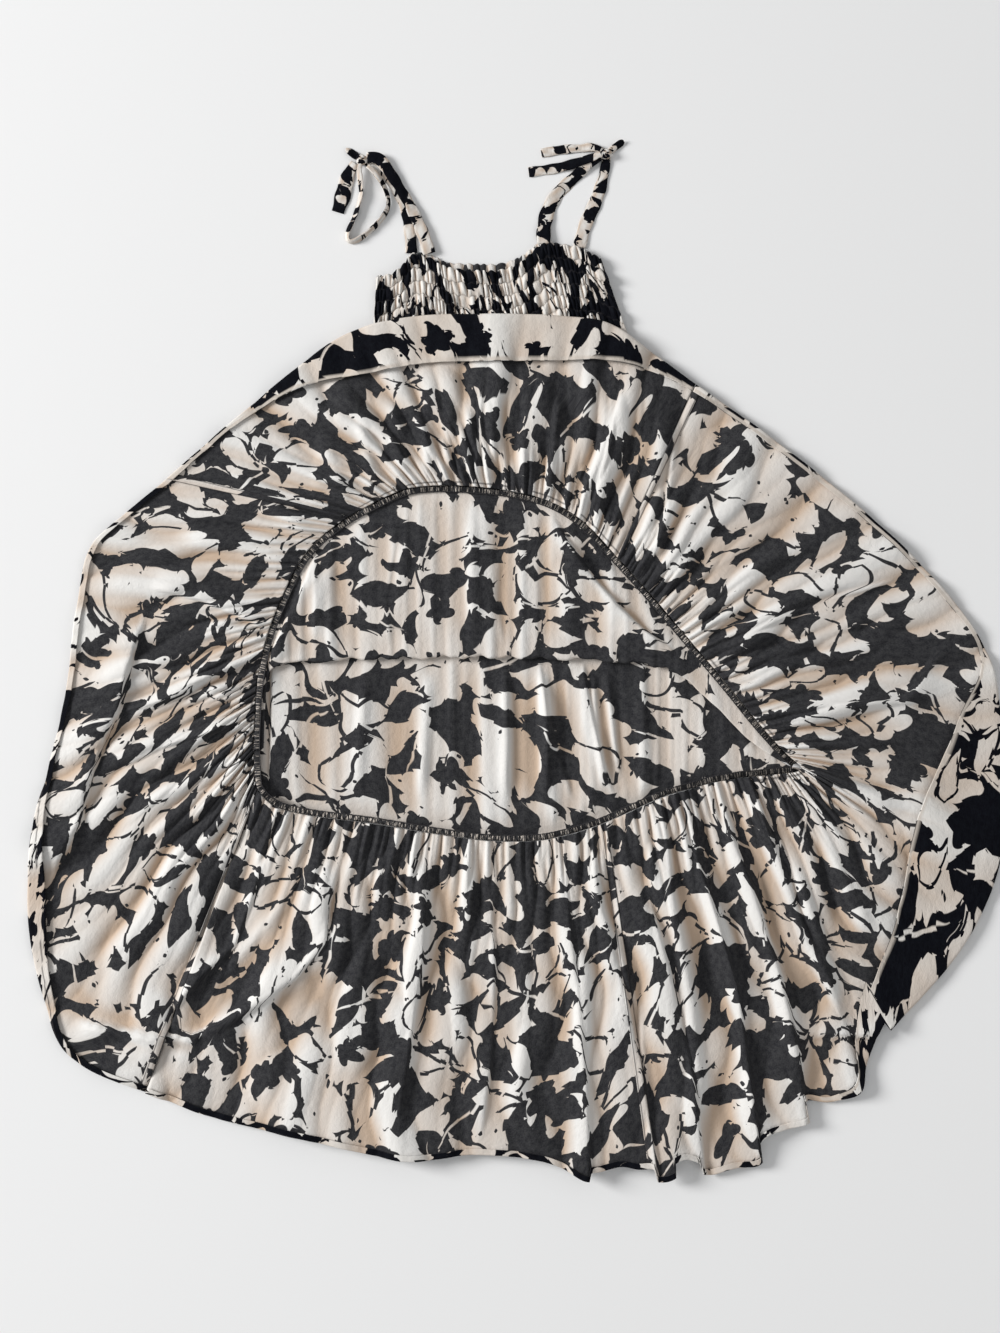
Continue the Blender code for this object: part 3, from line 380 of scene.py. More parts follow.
# %% Table of the flounce's rays
Ray = namedtuple("Ray", "seam_x seam_y edge_x edge_y seam_z turn edge_z", defaults=(0.6, 0.0))
RAYS = (
    Ray(-31.0, -15.8, -44.5, -52.1, 0.04), Ray(-31.4, -13.2, -53.6, -47.7, 0.22),
    Ray(-31.5, -10.6, -57.0, -39.6, 0.46, 1.5), Ray(-31.4, -7.6, -58.6, -30.8, 0.50, 2.6),
    Ray(-31.2, -4.2, -58.0, -20.6, 0.54, 1.5), Ray(-30.7, -0.8, -56.0, -13.0, 0.58),
    Ray(-29.6, 3.4, -54.1, -4.6, 0.64), Ray(-27.8, 7.8, -52.7, 6.2, 0.72),
    Ray(-25.9, 11.5, -51.4, 12.6, 0.82), Ray(-23.6, 14.2, -48.6, 15.8, 0.92),
    Ray(-20.4, 16.6, -42.0, 21.4, 0.98), Ray(-16.4, 18.8, -34.4, 28.0, 1.00),
    Ray(-13.2, 20.1, -27.4, 33.8, 1.00, 2.0, 0.15), Ray(-9.8, 20.5, -20.6, 38.6, 1.00, 5.2, 0.60),
    Ray(-5.6, 20.4, -12.6, 40.7, 1.00, 5.6, 0.92), Ray(-1.0, 19.9, -2.6, 41.0, 1.00, 5.4, 0.92),
    Ray(3.2, 18.9, 5.4, 40.8, 1.00, 5.1, 0.92), Ray(6.4, 17.3, 11.0, 39.9, 1.00, 4.2, 0.80),
    Ray(9.0, 15.2, 15.6, 36.9, 1.00, 2.2, 0.30), Ray(12.0, 11.9, 21.4, 32.7, 0.98, 0.8),
    Ray(15.9, 7.6, 30.6, 26.2, 0.95), Ray(20.4, 2.3, 42.4, 16.8, 0.90),
    Ray(25.0, -3.1, 51.6, 7.6, 0.84), Ray(28.4, -7.3, 56.4, 0.4, 0.76, 0.8),
    Ray(30.5, -9.7, 57.9, -6.2, 0.68, 4.6), Ray(32.3, -11.6, 58.6, -14.0, 0.60, 8.0),
    Ray(33.5, -12.6, 58.4, -21.2, 0.46, 10.4), Ray(34.0, -13.2, 56.8, -28.1, 0.30, 11.2),
    Ray(33.4, -13.7, 53.2, -35.0, 0.16, 10.0), Ray(31.8, -13.9, 48.4, -40.8, 0.10, 7.4),
    Ray(29.9, -14.1, 44.2, -45.0, 0.06, 5.0), Ray(28.2, -14.3, 42.0, -48.6, 0.04, 3.6),
    Ray(26.8, -14.4, 41.2, -52.0, 0.02, 1.4), Ray(25.2, -14.7, 38.2, -53.2, 0.02),
    Ray(23.4, -15.0, 34.9, -54.6, 0.02), Ray(20.8, -15.7, 31.0, -57.4, 0.02),
    Ray(18.6, -16.3, 28.4, -60.2, 0.02), Ray(16.4, -17.1, 24.0, -61.4, 0.02),
    Ray(14.0, -18.2, 20.4, -60.5, 0.02), Ray(10.6, -19.7, 16.8, -62.2, 0.02),
    Ray(8.4, -20.5, 12.6, -60.8, 0.02), Ray(5.6, -21.3, 8.4, -62.0, 0.02),
    Ray(2.2, -21.9, 2.8, -60.1, 0.02), Ray(-3.4, -21.9, -5.0, -59.4, 0.02),
    Ray(-9.6, -21.1, -13.6, -60.0, 0.02), Ray(-17.6, -19.8, -26.0, -57.4, 0.02),
    Ray(-24.6, -18.9, -36.0, -55.2, 0.02), Ray(-28.8, -17.8, -41.2, -53.4, 0.02),
)
print("rays round the gathered seam:", len(RAYS))

# %% Reading a table along a smooth curve
FULLNESS = 0.65


def ease(value):
    """0 below 0, 1 above 1, and a smooth rise between."""
    t = np.clip(value, 0.0, 1.0)
    return t * t * (3 - 2 * t)


def scatter(number, seed):
    """A fixed value from 0 to 1 for each whole number."""
    return np.modf(np.abs(np.sin(number * 12.9898 + seed * 78.233) * 43758.5453))[0]


def along(rows, at, closed=True):
    """The rows of a table read at fractional places on a smooth curve through them."""
    table = np.array(rows, float)
    count = len(table)
    whole = np.floor(at).astype(int)
    t = (at - whole)[..., None]
    wrap = (lambda k: k % count) if closed else (lambda k: np.clip(k, 0, count - 1))
    before, first, second, after = (table[wrap(whole + step)] for step in (-1, 0, 1, 2))
    return 0.5 * (
        2 * first
        + (second - before) * t
        + (2 * before - 5 * first + 4 * second - after) * t**2
        + (3 * first - before - 3 * second + after) * t**3
    )


def run_of(line):
    """The distance from the start of a line to each of its points."""
    return np.concatenate([[0.0], np.cumsum(np.hypot(*np.diff(line, axis=0).T))])


def joined(*parts):
    """Arrays of one shape, or that stretch to one, as an array of points."""
    return np.stack(np.broadcast_arrays(*parts), axis=-1)


# the cut width in centimetres up to each ray is a share of the seam and the edge together
table = np.array(RAYS + RAYS[:1], float)
LENGTHS = FULLNESS * (run_of(table[:, 0:2]) + run_of(table[:, 2:4]))
print("flounce cut width in metres, gathers included:", round(LENGTHS[-1] * CM, 2))

# %% [markdown]
# ## Folds placed by hand
# Gathers alone look like a machine's. The main folds of this dress are placed one by one, as they
# lie: each row is a half width, a height and then x, y, x, y along its line, and a negative height
# is a trough. They fade in and out at their ends. The same field lifts every layer at that place,
# so that layers which lie on each other stay apart. An overlap is where one stretch of cloth lies
# over the next: its surface drops sharply on the right of the line, and the cloth beyond is partly
# hidden.

# %% Table of listed folds
Fold = namedtuple("Fold", "half_width height line")


def placed(*rows):
    """Folds or overlaps from rows of a half width, a height and then x, y, x, y along the line."""
    return [Fold(*row[:2], np.array(row[2:], float).reshape(-1, 2)) for row in rows]


FOLDS = placed(
    (0.9, 0.42, -13.6, 20.6, -14.3, 26.1, -15.0, 31.9),
    (0.8, 0.5, -10.7, 20.8, -10.8, 26.1, -11.2, 32.7),
    (0.6, 0.35, -8.6, 20.6, -8.4, 26.1, -8.2, 30.9),
    (0.9, 0.55, -5.8, 20.3, -5.5, 26.1, -5.3, 33.3),
    (0.6, 0.4, -3.7, 20.1, -3.2, 24.9, -3.0, 29.7), (1.0, 0.6, 0.6, 19.3, 1.1, 24.9, 1.6, 32.7),
    (0.8, 0.45, 3.4, 18.2, 4.2, 23.7, 5.2, 30.9), (0.5, -0.25, -7.4, 20.3, -7.0, 30.9),
    (0.5, -0.3, -2.3, 19.9, -1.4, 32.1),
    (1.1, 0.55, 7.9, 15.3, 10.0, 21.3, 11.4, 28.5, 12.1, 33.3),
    (1.2, 0.6, 14.8, 9.9, 16.6, 18.9, 17.4, 26.1, 17.6, 30.9),
    (1.2, 0.5, 23.9, 23.3, 20.8, 16.5, 17.8, 8.1),
    (1.0, 0.4, -20.0, 17.5, -21.8, 22.5, -23.9, 27.3),
    (0.8, 0.4, -16.7, 18.9, -17.9, 24.3, -18.8, 29.7),
    (1.2, 0.4, -23.9, 14.1, -29.6, 18.9, -35.6, 22.5),
    (1.2, 0.45, -26.0, 10.5, -33.2, 13.5, -41.6, 15.3),
    (0.9, 0.4, -27.5, 6.3, -33.2, 7.5, -39.2, 8.7, -44.0, 8.3),
    (0.9, 0.35, -29.4, 2.1, -35.0, 3.9, -41.6, 5.5),
    (0.8, 0.4, -30.6, -0.9, -36.2, -1.3, -40.0, -3.9, -44.0, -5.1),
    (0.9, 0.5, -31.1, -4.5, -36.5, -4.4, -42.2, -5.6, -47.3, -6.9),
    (0.9, 0.5, -30.8, -8.1, -36.2, -8.5, -42.8, -10.5, -48.6, -12.9),
    (0.8, 0.4, -30.4, -11.3, -35.6, -12.9, -41.6, -15.9, -46.4, -19.5),
    (1.0, 0.4, -29.6, -14.7, -33.5, -17.7, -38.0, -23.1, -44.0, -29.1),
    (0.8, 0.45, -53.2, -43.4, -48.2, -44.3, -44.0, -44.9, -38.8, -45.1, -35.4, -43.4,
     -32.3, -40.7),
    (0.7, -0.22, -52.4, -44.9, -47.9, -45.9, -43.4, -46.6, -38.3, -46.7, -34.7, -45.2),
    (0.9, 0.5, -27.6, -19.0, -30.2, -23.6, -31.8, -29.7, -33.7, -34.3, -39.1, -39.7,
     -42.1, -44.2),
    (0.8, 0.4, -25.3, -21.3, -28.3, -29.7, -31.4, -33.5, -37.6, -41.1),
    (1.2, 0.7, -21.8, -21.3, -23.4, -30.4, -22.7, -33.5, -26.4, -38.1, -31.4, -41.6,
     -36.0, -45.1),
    (1.0, 0.4, -16.7, -21.9, -17.4, -32.7, -20.0, -42.3),
    (1.1, 0.45, -11.6, -22.5, -11.9, -35.1, -13.4, -48.3),
    (0.9, 0.4, -5.9, -23.1, -5.6, -32.7, -6.6, -43.5),
    (1.1, 0.5, -0.6, -23.1, 0.6, -35.1, 0.4, -48.3, -0.6, -59.1),
    (1.0, 0.5, 5.2, -23.1, 7.0, -32.7, 8.2, -45.9, 8.8, -60.9),
    (0.5, 0.35, 9.6, -28.6, 14.5, -41.6, 16.1, -59.2),
    (1.0, 0.55, 14.8, -19.5, 18.1, -29.1, 20.8, -41.1, 22.2, -60.3),
    (1.0, 0.55, 18.6, -17.1, 22.6, -26.7, 26.2, -38.7, 28.0, -53.1, 28.8, -59.7),
    (1.0, 0.55, 22.6, -15.9, 27.4, -25.5, 31.0, -36.3, 34.0, -52.5),
    (1.0, 0.5, 26.8, -14.9, 31.6, -23.1, 35.8, -32.7, 38.2, -42.3, 39.5, -48.9),
    (1.0, 0.45, 30.4, -14.5, 36.4, -21.9, 41.2, -30.3, 41.4, -36.3),
    (1.0, 0.4, 34.0, -13.3, 40.0, -15.9, 46.6, -18.9),
    (1.0, 0.45, 31.6, -9.9, 38.8, -10.1, 46.6, -11.1),
    (1.0, 0.45, 28.6, -6.5, 35.8, -5.1, 43.6, -5.1, 50.8, -5.7),
    (0.9, 0.4, 26.2, -3.9, 32.8, -0.9, 40.0, 0.9),
    (1.0, 0.45, 22.6, 0.9, 29.8, 5.1, 37.6, 8.1, 46.0, 9.9),
    (1.0, 0.45, 19.6, 4.3, 26.8, 9.9, 34.0, 14.1), (1.0, 0.45, 16.6, 7.5, 22.6, 14.1, 29.2, 20.1),
)
INNER_FOLDS = placed(
    (0.5, 0.4, -1.3, -0.5, -1.1, -9.9, -1.3, -18.5), (0.6, 0.5, 3.2, -0.5, 3.5, -9.9, 3.4, -18.5),
    (0.5, 0.35, 9.0, -1.3, 9.7, -9.9, 10.7, -16.5),
    (0.4, 0.3, 10.7, -1.3, 11.6, -9.9, 12.6, -15.9),
    (0.6, 0.35, -10.4, -0.5, -11.0, -9.9, -11.6, -17.7),
    (0.7, 0.3, -18.2, -1.3, -18.8, -9.9, -19.2, -17.1),
    (1.0, 0.22, -13.4, 15.3, -14.3, 8.1, -15.0, 1.5),
    (1.1, 0.22, -5.6, 17.1, -5.2, 9.3, -4.9, 2.1), (1.0, 0.25, 5.2, 11.7, 5.9, 5.7, 6.4, 1.5),
    (0.9, 0.22, -22.4, 11.7, -23.9, 5.7, -24.6, 0.9),
)
print("folds placed by hand:", len(FOLDS), "and", len(INNER_FOLDS), "inside the seam")

# %% Table of overlaps
OVERLAPS = placed(
    (4.5, 1.05, -56.5, -29.1, -54.7, -24.3, -52.1, -19.7, -50.6, -13.4, -48.8, -8.8, -47.5, -6.4,
     -45.8, 0.4, -43.6, 6.9),
    (3.0, 0.9, -30.6, -39.9, -35.4, -43.4, -38.8, -45.1, -44.0, -44.9, -48.2, -44.3,
     -53.6, -42.9),
    (3.2, 0.9, -36.5, -45.4, -31.4, -41.8, -26.4, -38.3, -22.7, -33.9, -22.2, -29.1,
     -20.5, -23.1),
    (2.2, 0.5, -42.5, -44.6, -39.2, -39.9, -33.7, -34.5, -31.8, -29.7, -30.0, -23.6),
    (2.2, 0.5, 17.2, -66.9, 16.7, -60.1, 14.8, -48.3, 12.6, -38.7, 10.0, -29.1),
    (2.4, 0.6, 23.9, -67.5, 22.4, -60.5, 21.2, -50.7, 18.6, -38.7, 16.0, -29.1, 14.3, -21.9),
    (2.4, 0.6, 30.6, -66.9, 29.2, -59.8, 28.2, -51.9, 26.5, -39.9, 22.9, -27.9, 20.0, -19.5),
    (2.4, 0.6, 35.4, -61.5, 34.7, -54.9, 34.0, -48.3, 31.3, -36.9, 28.0, -26.7, 24.4, -18.3),
    (2.0, 0.5, 9.0, -68.1, 8.8, -61.5, 8.4, -50.7, 7.2, -38.7, 5.8, -26.7),
    (2.0, 0.45, -4.4, -59.1, -3.0, -48.3, -2.5, -36.3, -3.2, -26.7),
    (2.0, 0.45, -14.0, -55.5, -12.6, -45.9, -11.2, -36.3, -10.9, -26.7),
    (1.4, 0.45, -47.9, -6.9, -42.5, -5.3, -36.7, -3.9, -31.8, -3.9),
    (1.4, 0.45, -48.8, -14.1, -42.8, -10.9, -36.4, -8.9, -31.3, -8.5),
    (1.6, 0.5, -44.3, 8.3, -38.0, 6.9, -31.9, 4.3, -29.0, 2.8),
    (1.2, 0.5, 4.7, 31.5, 4.0, 24.9, 3.1, 18.9), (1.2, 0.45, -4.4, 32.7, -4.7, 27.3, -5.2, 20.8),
    (1.4, 0.5, 12.4, 32.7, 10.7, 24.9, 8.5, 16.5),
    (1.6, 0.55, 18.6, 26.1, 17.6, 17.7, 15.7, 10.5),
    (2.0, 0.6, 51.4, 2.1, 46.0, -5.1, 37.6, -5.3, 29.4, -6.5),
    (1.8, 0.5, 46.6, 9.9, 38.2, 7.4, 30.4, 4.5, 23.4, 0.7),
    (2.0, 0.5, 34.0, -45.4, 37.4, -45.2, 40.6, -45.4, 47.8, -44.8),
)
INNER_OVERLAPS = placed(
    (2.5, 0.85, 19.1, 0.7, 15.5, 3.1, 12.4, 5.9, 9.4, 9.3, 6.6, 13.1, 4.1, 17.2),
    (1.6, 0.45, -23.9, 12.7, -26.6, 6.4, -28.7, 2.1, -30.1, -1.7),
    (1.4, 0.22, -15.0, 0.9, -15.5, 6.9, -14.5, 12.9, -14.0, 17.7),
    (1.2, 0.2, -1.4, 1.1, -2.3, 6.9, -2.0, 12.9),
)
BACK_OVERLAPS = placed(
    (1.6, 0.45, -29.4, 0.3, -29.5, -6.3, -29.6, -12.1, -29.8, -17.1),
    (1.4, 0.35, 7.2, -18.1, 5.2, -12.1, 3.7, -6.3, 2.5, 0.9),
    (1.4, 0.5, 11.9, -17.1, 10.4, -12.3, 9.2, -7.7, 7.8, 0.3),
    (1.2, 0.28, -1.3, -17.1, -1.3, -9.9, -1.3, 0.3),
)
print("overlaps placed by hand:", len(OVERLAPS) + len(INNER_OVERLAPS) + len(BACK_OVERLAPS))

# %% Height of the folds and overlaps
HIDES = 3.0
HIDES_REACH = 14.0


def beside(x, y, line):
    """How far away a line is, on which side, how far along it, and how long it is."""
    nearest, side, at, run = np.full(x.shape, np.inf), 0.0, 0.0, 0.0
    for a, b in zip(line, line[1:]):
        size = math.hypot(*(b - a))
        way = (b - a) / size
        t = np.clip((x - a[0]) * way[0] + (y - a[1]) * way[1], 0.0, size)
        away = np.hypot(x - a[0] - way[0] * t, y - a[1] - way[1] * t)
        closer = away < nearest
        side = np.where(closer, np.sign(way[0] * (y - a[1]) - way[1] * (x - a[0])), side)
        at = np.where(closer, run + t, at)
        nearest = np.minimum(nearest, away)
        run += size
    return nearest, side, at, run


def fade(at, run, start, end):
    """1 along a line of this length, and less over these shares of it at its start and end."""
    return ease(at / (start * run)) * ease((run - at) / (end * run))


def fold_field(x, y, folds=FOLDS):
    """The height that the listed folds add at each point, in centimetres."""
    total = np.zeros_like(x)
    for fold in folds:
        away, _, at, run = beside(x, y, fold.line)
        total += fold.height * fade(at, run, 0.25, 0.30) * np.exp(-((away / fold.half_width) ** 2))
    return total


def overlap_field(x, y, steps):
    """The height that overlaps add on the left of their line, and the cloth that they hide."""
    total, hidden = np.zeros_like(x), np.zeros_like(x)
    for step in steps:
        away, side, at, run = beside(x, y, step.line)
        left = np.maximum(away * side, 0.0)
        rise = step.height * fade(at, run, 0.2, 0.2) * ease((away * side + 0.25) / 0.5)
        total += rise * np.exp(-((left / step.half_width) ** 2))
        hidden += HIDES * rise * np.exp(-((left / HIDES_REACH) ** 2))
    return total, hidden

# %% [markdown]
# ## A sheet of cloth
# Cloth here is a grid of points on the middle of its thickness, with a UV map in metres of cut
# cloth. Solidify gives it its 0.8 mm and puts the right side's finish on the underside. A grid can
# follow each gather exactly, which a simulation at this size could not do within the time that it
# may take.

# %% Helper: one sheet of cloth
CLOTH = 0.0008


def cloth_form(name, points, faces, places, unshaded, stitch, finishes):
    """A piece from points in centimetres, with each corner's place on the cut cloth in metres."""
    mesh = bpy.data.meshes.new(name)
    mesh.from_pydata((points.reshape(-1, 3) * CM).tolist(), [], faces)
    mesh.uv_layers.new(name="cloth").data.foreach_set("uv", places.ravel())
    for label, level in (("unshaded", unshaded), ("stitch", stitch)):
        level = np.broadcast_to(level, points.shape[:2]).ravel()
        mesh.attributes.new(label, "FLOAT", "POINT").data.foreach_set("value", level)
    for finish in finishes:
        mesh.materials.append(finish)
    return added(name, mesh)


def finish_piece(piece, nodes):
    """Applies the piece's modifiers, smooths it and lets it ride on the dress."""
    pick(piece)
    for modifier in list(piece.modifiers):
        bpy.ops.object.modifier_apply(modifier=modifier.name)
    bpy.ops.object.shade_smooth()
    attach(piece, "root")
    if nodes:
        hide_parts(*nodes)


def cloth_sheet(
    name, points, cloth, unshaded, stitch=0.0, finishes=(wrong_side, right_side), nodes=()
):
    """A sheet from a grid of points in centimetres and their places on the cut cloth in metres."""
    rows, columns = points.shape[:2]
    index = np.arange(rows * columns).reshape(rows, columns)
    faces = joined(index[:-1, :-1], index[:-1, 1:], index[1:, 1:], index[1:, :-1]).reshape(-1, 4)
    row, column = rows // 3, columns // 2
    across, down = (points[row, column + 1], points[row + 1, column]) - points[row, column]
    if np.cross(across, down)[2] <= 0:
        faces = faces[:, ::-1]
    places = cloth.reshape(-1, 2)[faces.ravel()]
    piece = cloth_form(name, points, faces.tolist(), places, unshaded, stitch, finishes)
    solid = piece.modifiers.new("thickness", "SOLIDIFY")
    solid.thickness, solid.offset, solid.material_offset = CLOTH, 0.0, 1
    finish_piece(piece, nodes)
    triangles = sum(len(face.vertices) - 2 for face in piece.data.polygons)
    area = sum(face.area for face in piece.data.polygons) / 2
    print(name, "triangles:", triangles, "cloth in square metres:", round(area, 4))
    return piece


def unshaded_of(relief, reach, scale):
    """1 on the folds' crowns and 0 in their hollows, where cream gets painted shade, against the
    mean of the columns in reach.
    """
    padded = np.pad(relief, ((0, 0), (reach + 1, reach)), mode="edge").cumsum(axis=1)
    mean = (padded[:, 2 * reach + 1 :] - padded[:, : -2 * reach - 1]) / (2 * reach + 1)
    return np.clip(0.62 + (relief - mean) / scale, 0.0, 1.0)

# %% [markdown]
# ## The flounce
# The flounce is four widths sewn into a ring, gathered to less than half its width at the seam.
# Its gathers stand close and high at the seam and merge in twos and threes on their way out, each
# with its own length. At the outer edge the hem is turned up, and at the top and at the right a
# wide stretch of the edge is folded back and shows the vivid right side.

# %% Height of the flounce over what it lies on
Stretch = namedtuple("Stretch", "x y half_width")
HIDDEN_TOP = Stretch(-2.4, 38.46, 14.0)
HIDDEN_BOTTOM = Stretch(-5.4, 3.0, 22.5)
HIDDEN_HEIGHT = 0.86
WALL = 0.14
GAP = 0.04
DEEPEST = -0.02


def cover_height(x, y):
    """The height that keeps cloth clear of the layers hidden under the turned-up front."""
    down = np.clip((HIDDEN_TOP.y - y) / (HIDDEN_TOP.y - HIDDEN_BOTTOM.y), 0.0, 1.0)
    middle = HIDDEN_TOP.x + (HIDDEN_BOTTOM.x - HIDDEN_TOP.x) * down
    half = HIDDEN_TOP.half_width + (HIDDEN_BOTTOM.half_width - HIDDEN_TOP.half_width) * down
    return (HIDDEN_HEIGHT + GAP) * (1 - ease((np.abs(x - middle) - half - 1.0) / 5.0))

# %% Gathers
Gather = namedtuple("Gather", "pitch lift seed rise_from rise_over fall_from fall_over kept")
GATHERS = (
    Gather(1.15, 0.30, 7, -1.0, 1.0, 1.2, 4.5, 0.0),
    Gather(1.90, 0.54, 1, -1.0, 1.0, 2.5, 8.5, 0.0),
    Gather(3.40, 0.60, 5, -1.0, 2.5, 8.0, 15.0, 0.26),
    Gather(6.50, 0.85, 2, 0.5, 6.0, 24.0, 14.0, 0.66),
    Gather(13.0, 0.75, 3, 6.0, 12.0, 26.0, 12.0, 0.75),
)


def gather_relief(cut, out):
    """Uneven gathers by the place on the cut cloth and the distance from the seam."""
    total = np.zeros_like(cut)
    for g in GATHERS:
        drift = 0.55 * np.sin(out / 4.3 + cut / (2.7 * g.pitch))
        drift = drift + 0.4 * np.sin(out / 2.4 - cut / (1.7 * g.pitch))
        place = cut / g.pitch + 0.32 * drift * ease(out / 6.0)
        which = np.floor(place)
        size = 0.35 + 0.65 * scatter(which, g.seed)
        length = 0.6 + 0.9 * scatter(which, g.seed + 11)
        ridge = np.abs(np.sin(np.pi * place)) ** 0.9
        rise = ease((out - g.rise_from) / g.rise_over)
        fall = 1 - (1 - g.kept) * ease((out - g.fall_from * length) / (g.fall_over * length))
        total += g.lift * size * ridge * rise * fall
    return total


print("kinds of gather:", len(GATHERS), "pitch:", GATHERS[0].pitch, "to", GATHERS[-1].pitch, "cm")

# %% The flounce as a surface
FLAT_ROWS = 84
ROLL_ROWS = 5
BACK_ROWS = 9
FLOUNCE_ROWS = np.array(
    [((i / FLAT_ROWS) ** 1.15, 0.0, 0.0) for i in range(FLAT_ROWS + 1)]
    + [(1.0, 180.0 * (i + 1) / ROLL_ROWS, 0.0) for i in range(ROLL_ROWS)]
    + [(1.0, 180.0, (i + 1) / BACK_ROWS) for i in range(BACK_ROWS)]
)
SOFT_FROM, SOFT_ROOM = 2.3, 0.65
HEM_STEP_REACH = 1.9
LOWER_HEM_Y = -40.0
SEAM_STITCH, HEM_STITCH = 0.45, 0.9
# strengths of the dark stitching and of the painted highlight along a rolled hem's edge
STITCH_SHADE, HEM_HIGHLIGHT_STRENGTH = 0.8, 0.85
# reach and scale of the painted shade in the hollows of the folds
PAINTED_SHADE_REACH, PAINTED_SHADE_SCALE = 26, 0.72
ROLLED_FROM, ROLLED_TO = 10, 33.5
HemStep = namedtuple("HemStep", "x before after")
HEM_STEPS = (
    HemStep(16.6, -1.3, 0.2), HemStep(18.9, 0.8, -0.8), HemStep(22.1, -0.3, 0.9),
    HemStep(29.2, 0.9, -1.4), HemStep(34.7, 1.0, -1.5), HemStep(8.6, 0.5, -0.5),
    HemStep(44.4, -1.1, 0.1),
)


def soft_top(z):
    """Presses the highest folds down, as the weight of the cloth does."""
    return np.where(z > SOFT_FROM, SOFT_FROM + SOFT_ROOM * np.tanh((z - SOFT_FROM) / SOFT_ROOM), z)


def hem_steps(x, y):
    """How far the lower hem jumps out or in where one pleat's end lies over the next."""
    total = np.zeros_like(x)
    for step in HEM_STEPS:
        away = np.exp(-(((x - step.x) / HEM_STEP_REACH) ** 2))
        total += np.where(x < step.x, step.before, step.after) * away
    return np.where(y < LOWER_HEM_Y, total, 0.0)


def flounce_points(cut):
    """Points, places on the cloth, painted-shade levels, stitch lines and depths of the flounce at
    these cuts.
    """
    ray = np.interp(cut, LENGTHS, np.arange(len(LENGTHS)))
    seam_x, seam_y, edge_x, edge_y, seam_z, turn, edge_z = along(RAYS, ray).T
    share, roll, back = (FLOUNCE_ROWS[:, k, None] for k in range(3))
    back = 1 - (1 - back) ** (1 + 0.9 * ease((turn - 2.0) / 3.0))
    reach = np.hypot(edge_x - seam_x, edge_y - seam_y)
    way_x, way_y = (edge_x - seam_x) / reach, (edge_y - seam_y) / reach
    radius = 0.12 + 0.18 * ease(turn / 4.0)
    flat = reach - radius - WALL / 2
    jump = hem_steps(seam_x + way_x * flat, seam_y + way_y * flat)
    flat = flat + jump * ease((share - 0.7) / 0.3)
    angle = np.radians(roll)
    gone = GAP / 2 + (flat - GAP / 2) * share - turn * back
    beyond = gone + radius * np.sin(angle)
    x, y = seam_x + way_x * beyond, seam_y + way_y * beyond
    ground = np.maximum(seam_z + (edge_z - seam_z) * ease(gone / flat), cover_height(x, y))
    under = ease(turn / 4.0) * ease((gone / flat - 0.6) / 0.3)
    steps, hidden = overlap_field(x, y, OVERLAPS)
    relief = gather_relief(np.broadcast_to(cut, x.shape), gone) * (1 - 0.6 * under)
    relief = relief + fold_field(x, y) * (1 - 0.5 * under) + steps
    over = radius * (1 - np.cos(angle)) + 0.10 * back * np.minimum(turn, 1.0)
    z = soft_top(ground + WALL / 2 + np.maximum(relief, DEEPEST) + over)
    length = flat * share + radius * angle + turn * back
    cloth = joined(cut + 0.6 * hidden, length + hidden) * CM
    to_edge = flat + np.pi * radius + turn - length
    rolled = (ray > ROLLED_FROM) & (ray < ROLLED_TO)
    # painted highlight: a pale line along the last few millimetres of the rolled hem
    hem_highlight = rolled & (to_edge > 0.03) & (to_edge < 0.45)
    near_seam = (np.abs(gone - SEAM_STITCH) < 0.06) & (roll < 1)
    sewn = near_seam | (~rolled & (np.abs(to_edge - HEM_STITCH) < 0.08))
    stitch = np.where(sewn, STITCH_SHADE, 0.0) - np.where(hem_highlight, HEM_HIGHLIGHT_STRENGTH, 0.0)
    # painted shade: cream turns towards tan in the hollows of the gathers and folds
    unshaded = unshaded_of(relief, PAINTED_SHADE_REACH, PAINTED_SHADE_SCALE)
    return joined(x, y, z), cloth, unshaded, stitch, length[-1]

# %% Four widths of flounce
COLUMN_PITCH = 0.27
Panel = namedtuple("Panel", "name start end print_shift")
for panel in (
    Panel("flounce_left", 0, 10, 0.55),
    Panel("flounce_top", 10, 19, 1.31),
    Panel("flounce_right", 19, 39, 3.35),
    Panel("flounce_lower", 39, 48, 4.12),
):
    start, end = LENGTHS[panel.start] + GAP, LENGTHS[panel.end] - GAP
    cut = np.linspace(start, end, int((end - start) / COLUMN_PITCH) + 1)
    points, cloth, unshaded, stitch, depth = flounce_points(cut)
    cloth = cloth + (panel.print_shift, 0.37 * panel.print_shift)
    piece = cloth_sheet(panel.name + "_cloth", points, cloth, unshaded, stitch, nodes=(panel.name,))
    width, longest = (end - start) * CM, float(depth.max()) * CM
    print("  cut", round(width, 2), "by up to", round(longest, 2), "m")

# %% [markdown]
# ## The upper skirt
# Inside the seam two layers show. The front of the upper skirt is turned up: it leaves the upper
# arch of the seam, runs down and folds back under itself in one long fold. Below the fold the back
# of the skirt lies on the surface, seen from inside. Both are plain cloth with soft upright
# creases.

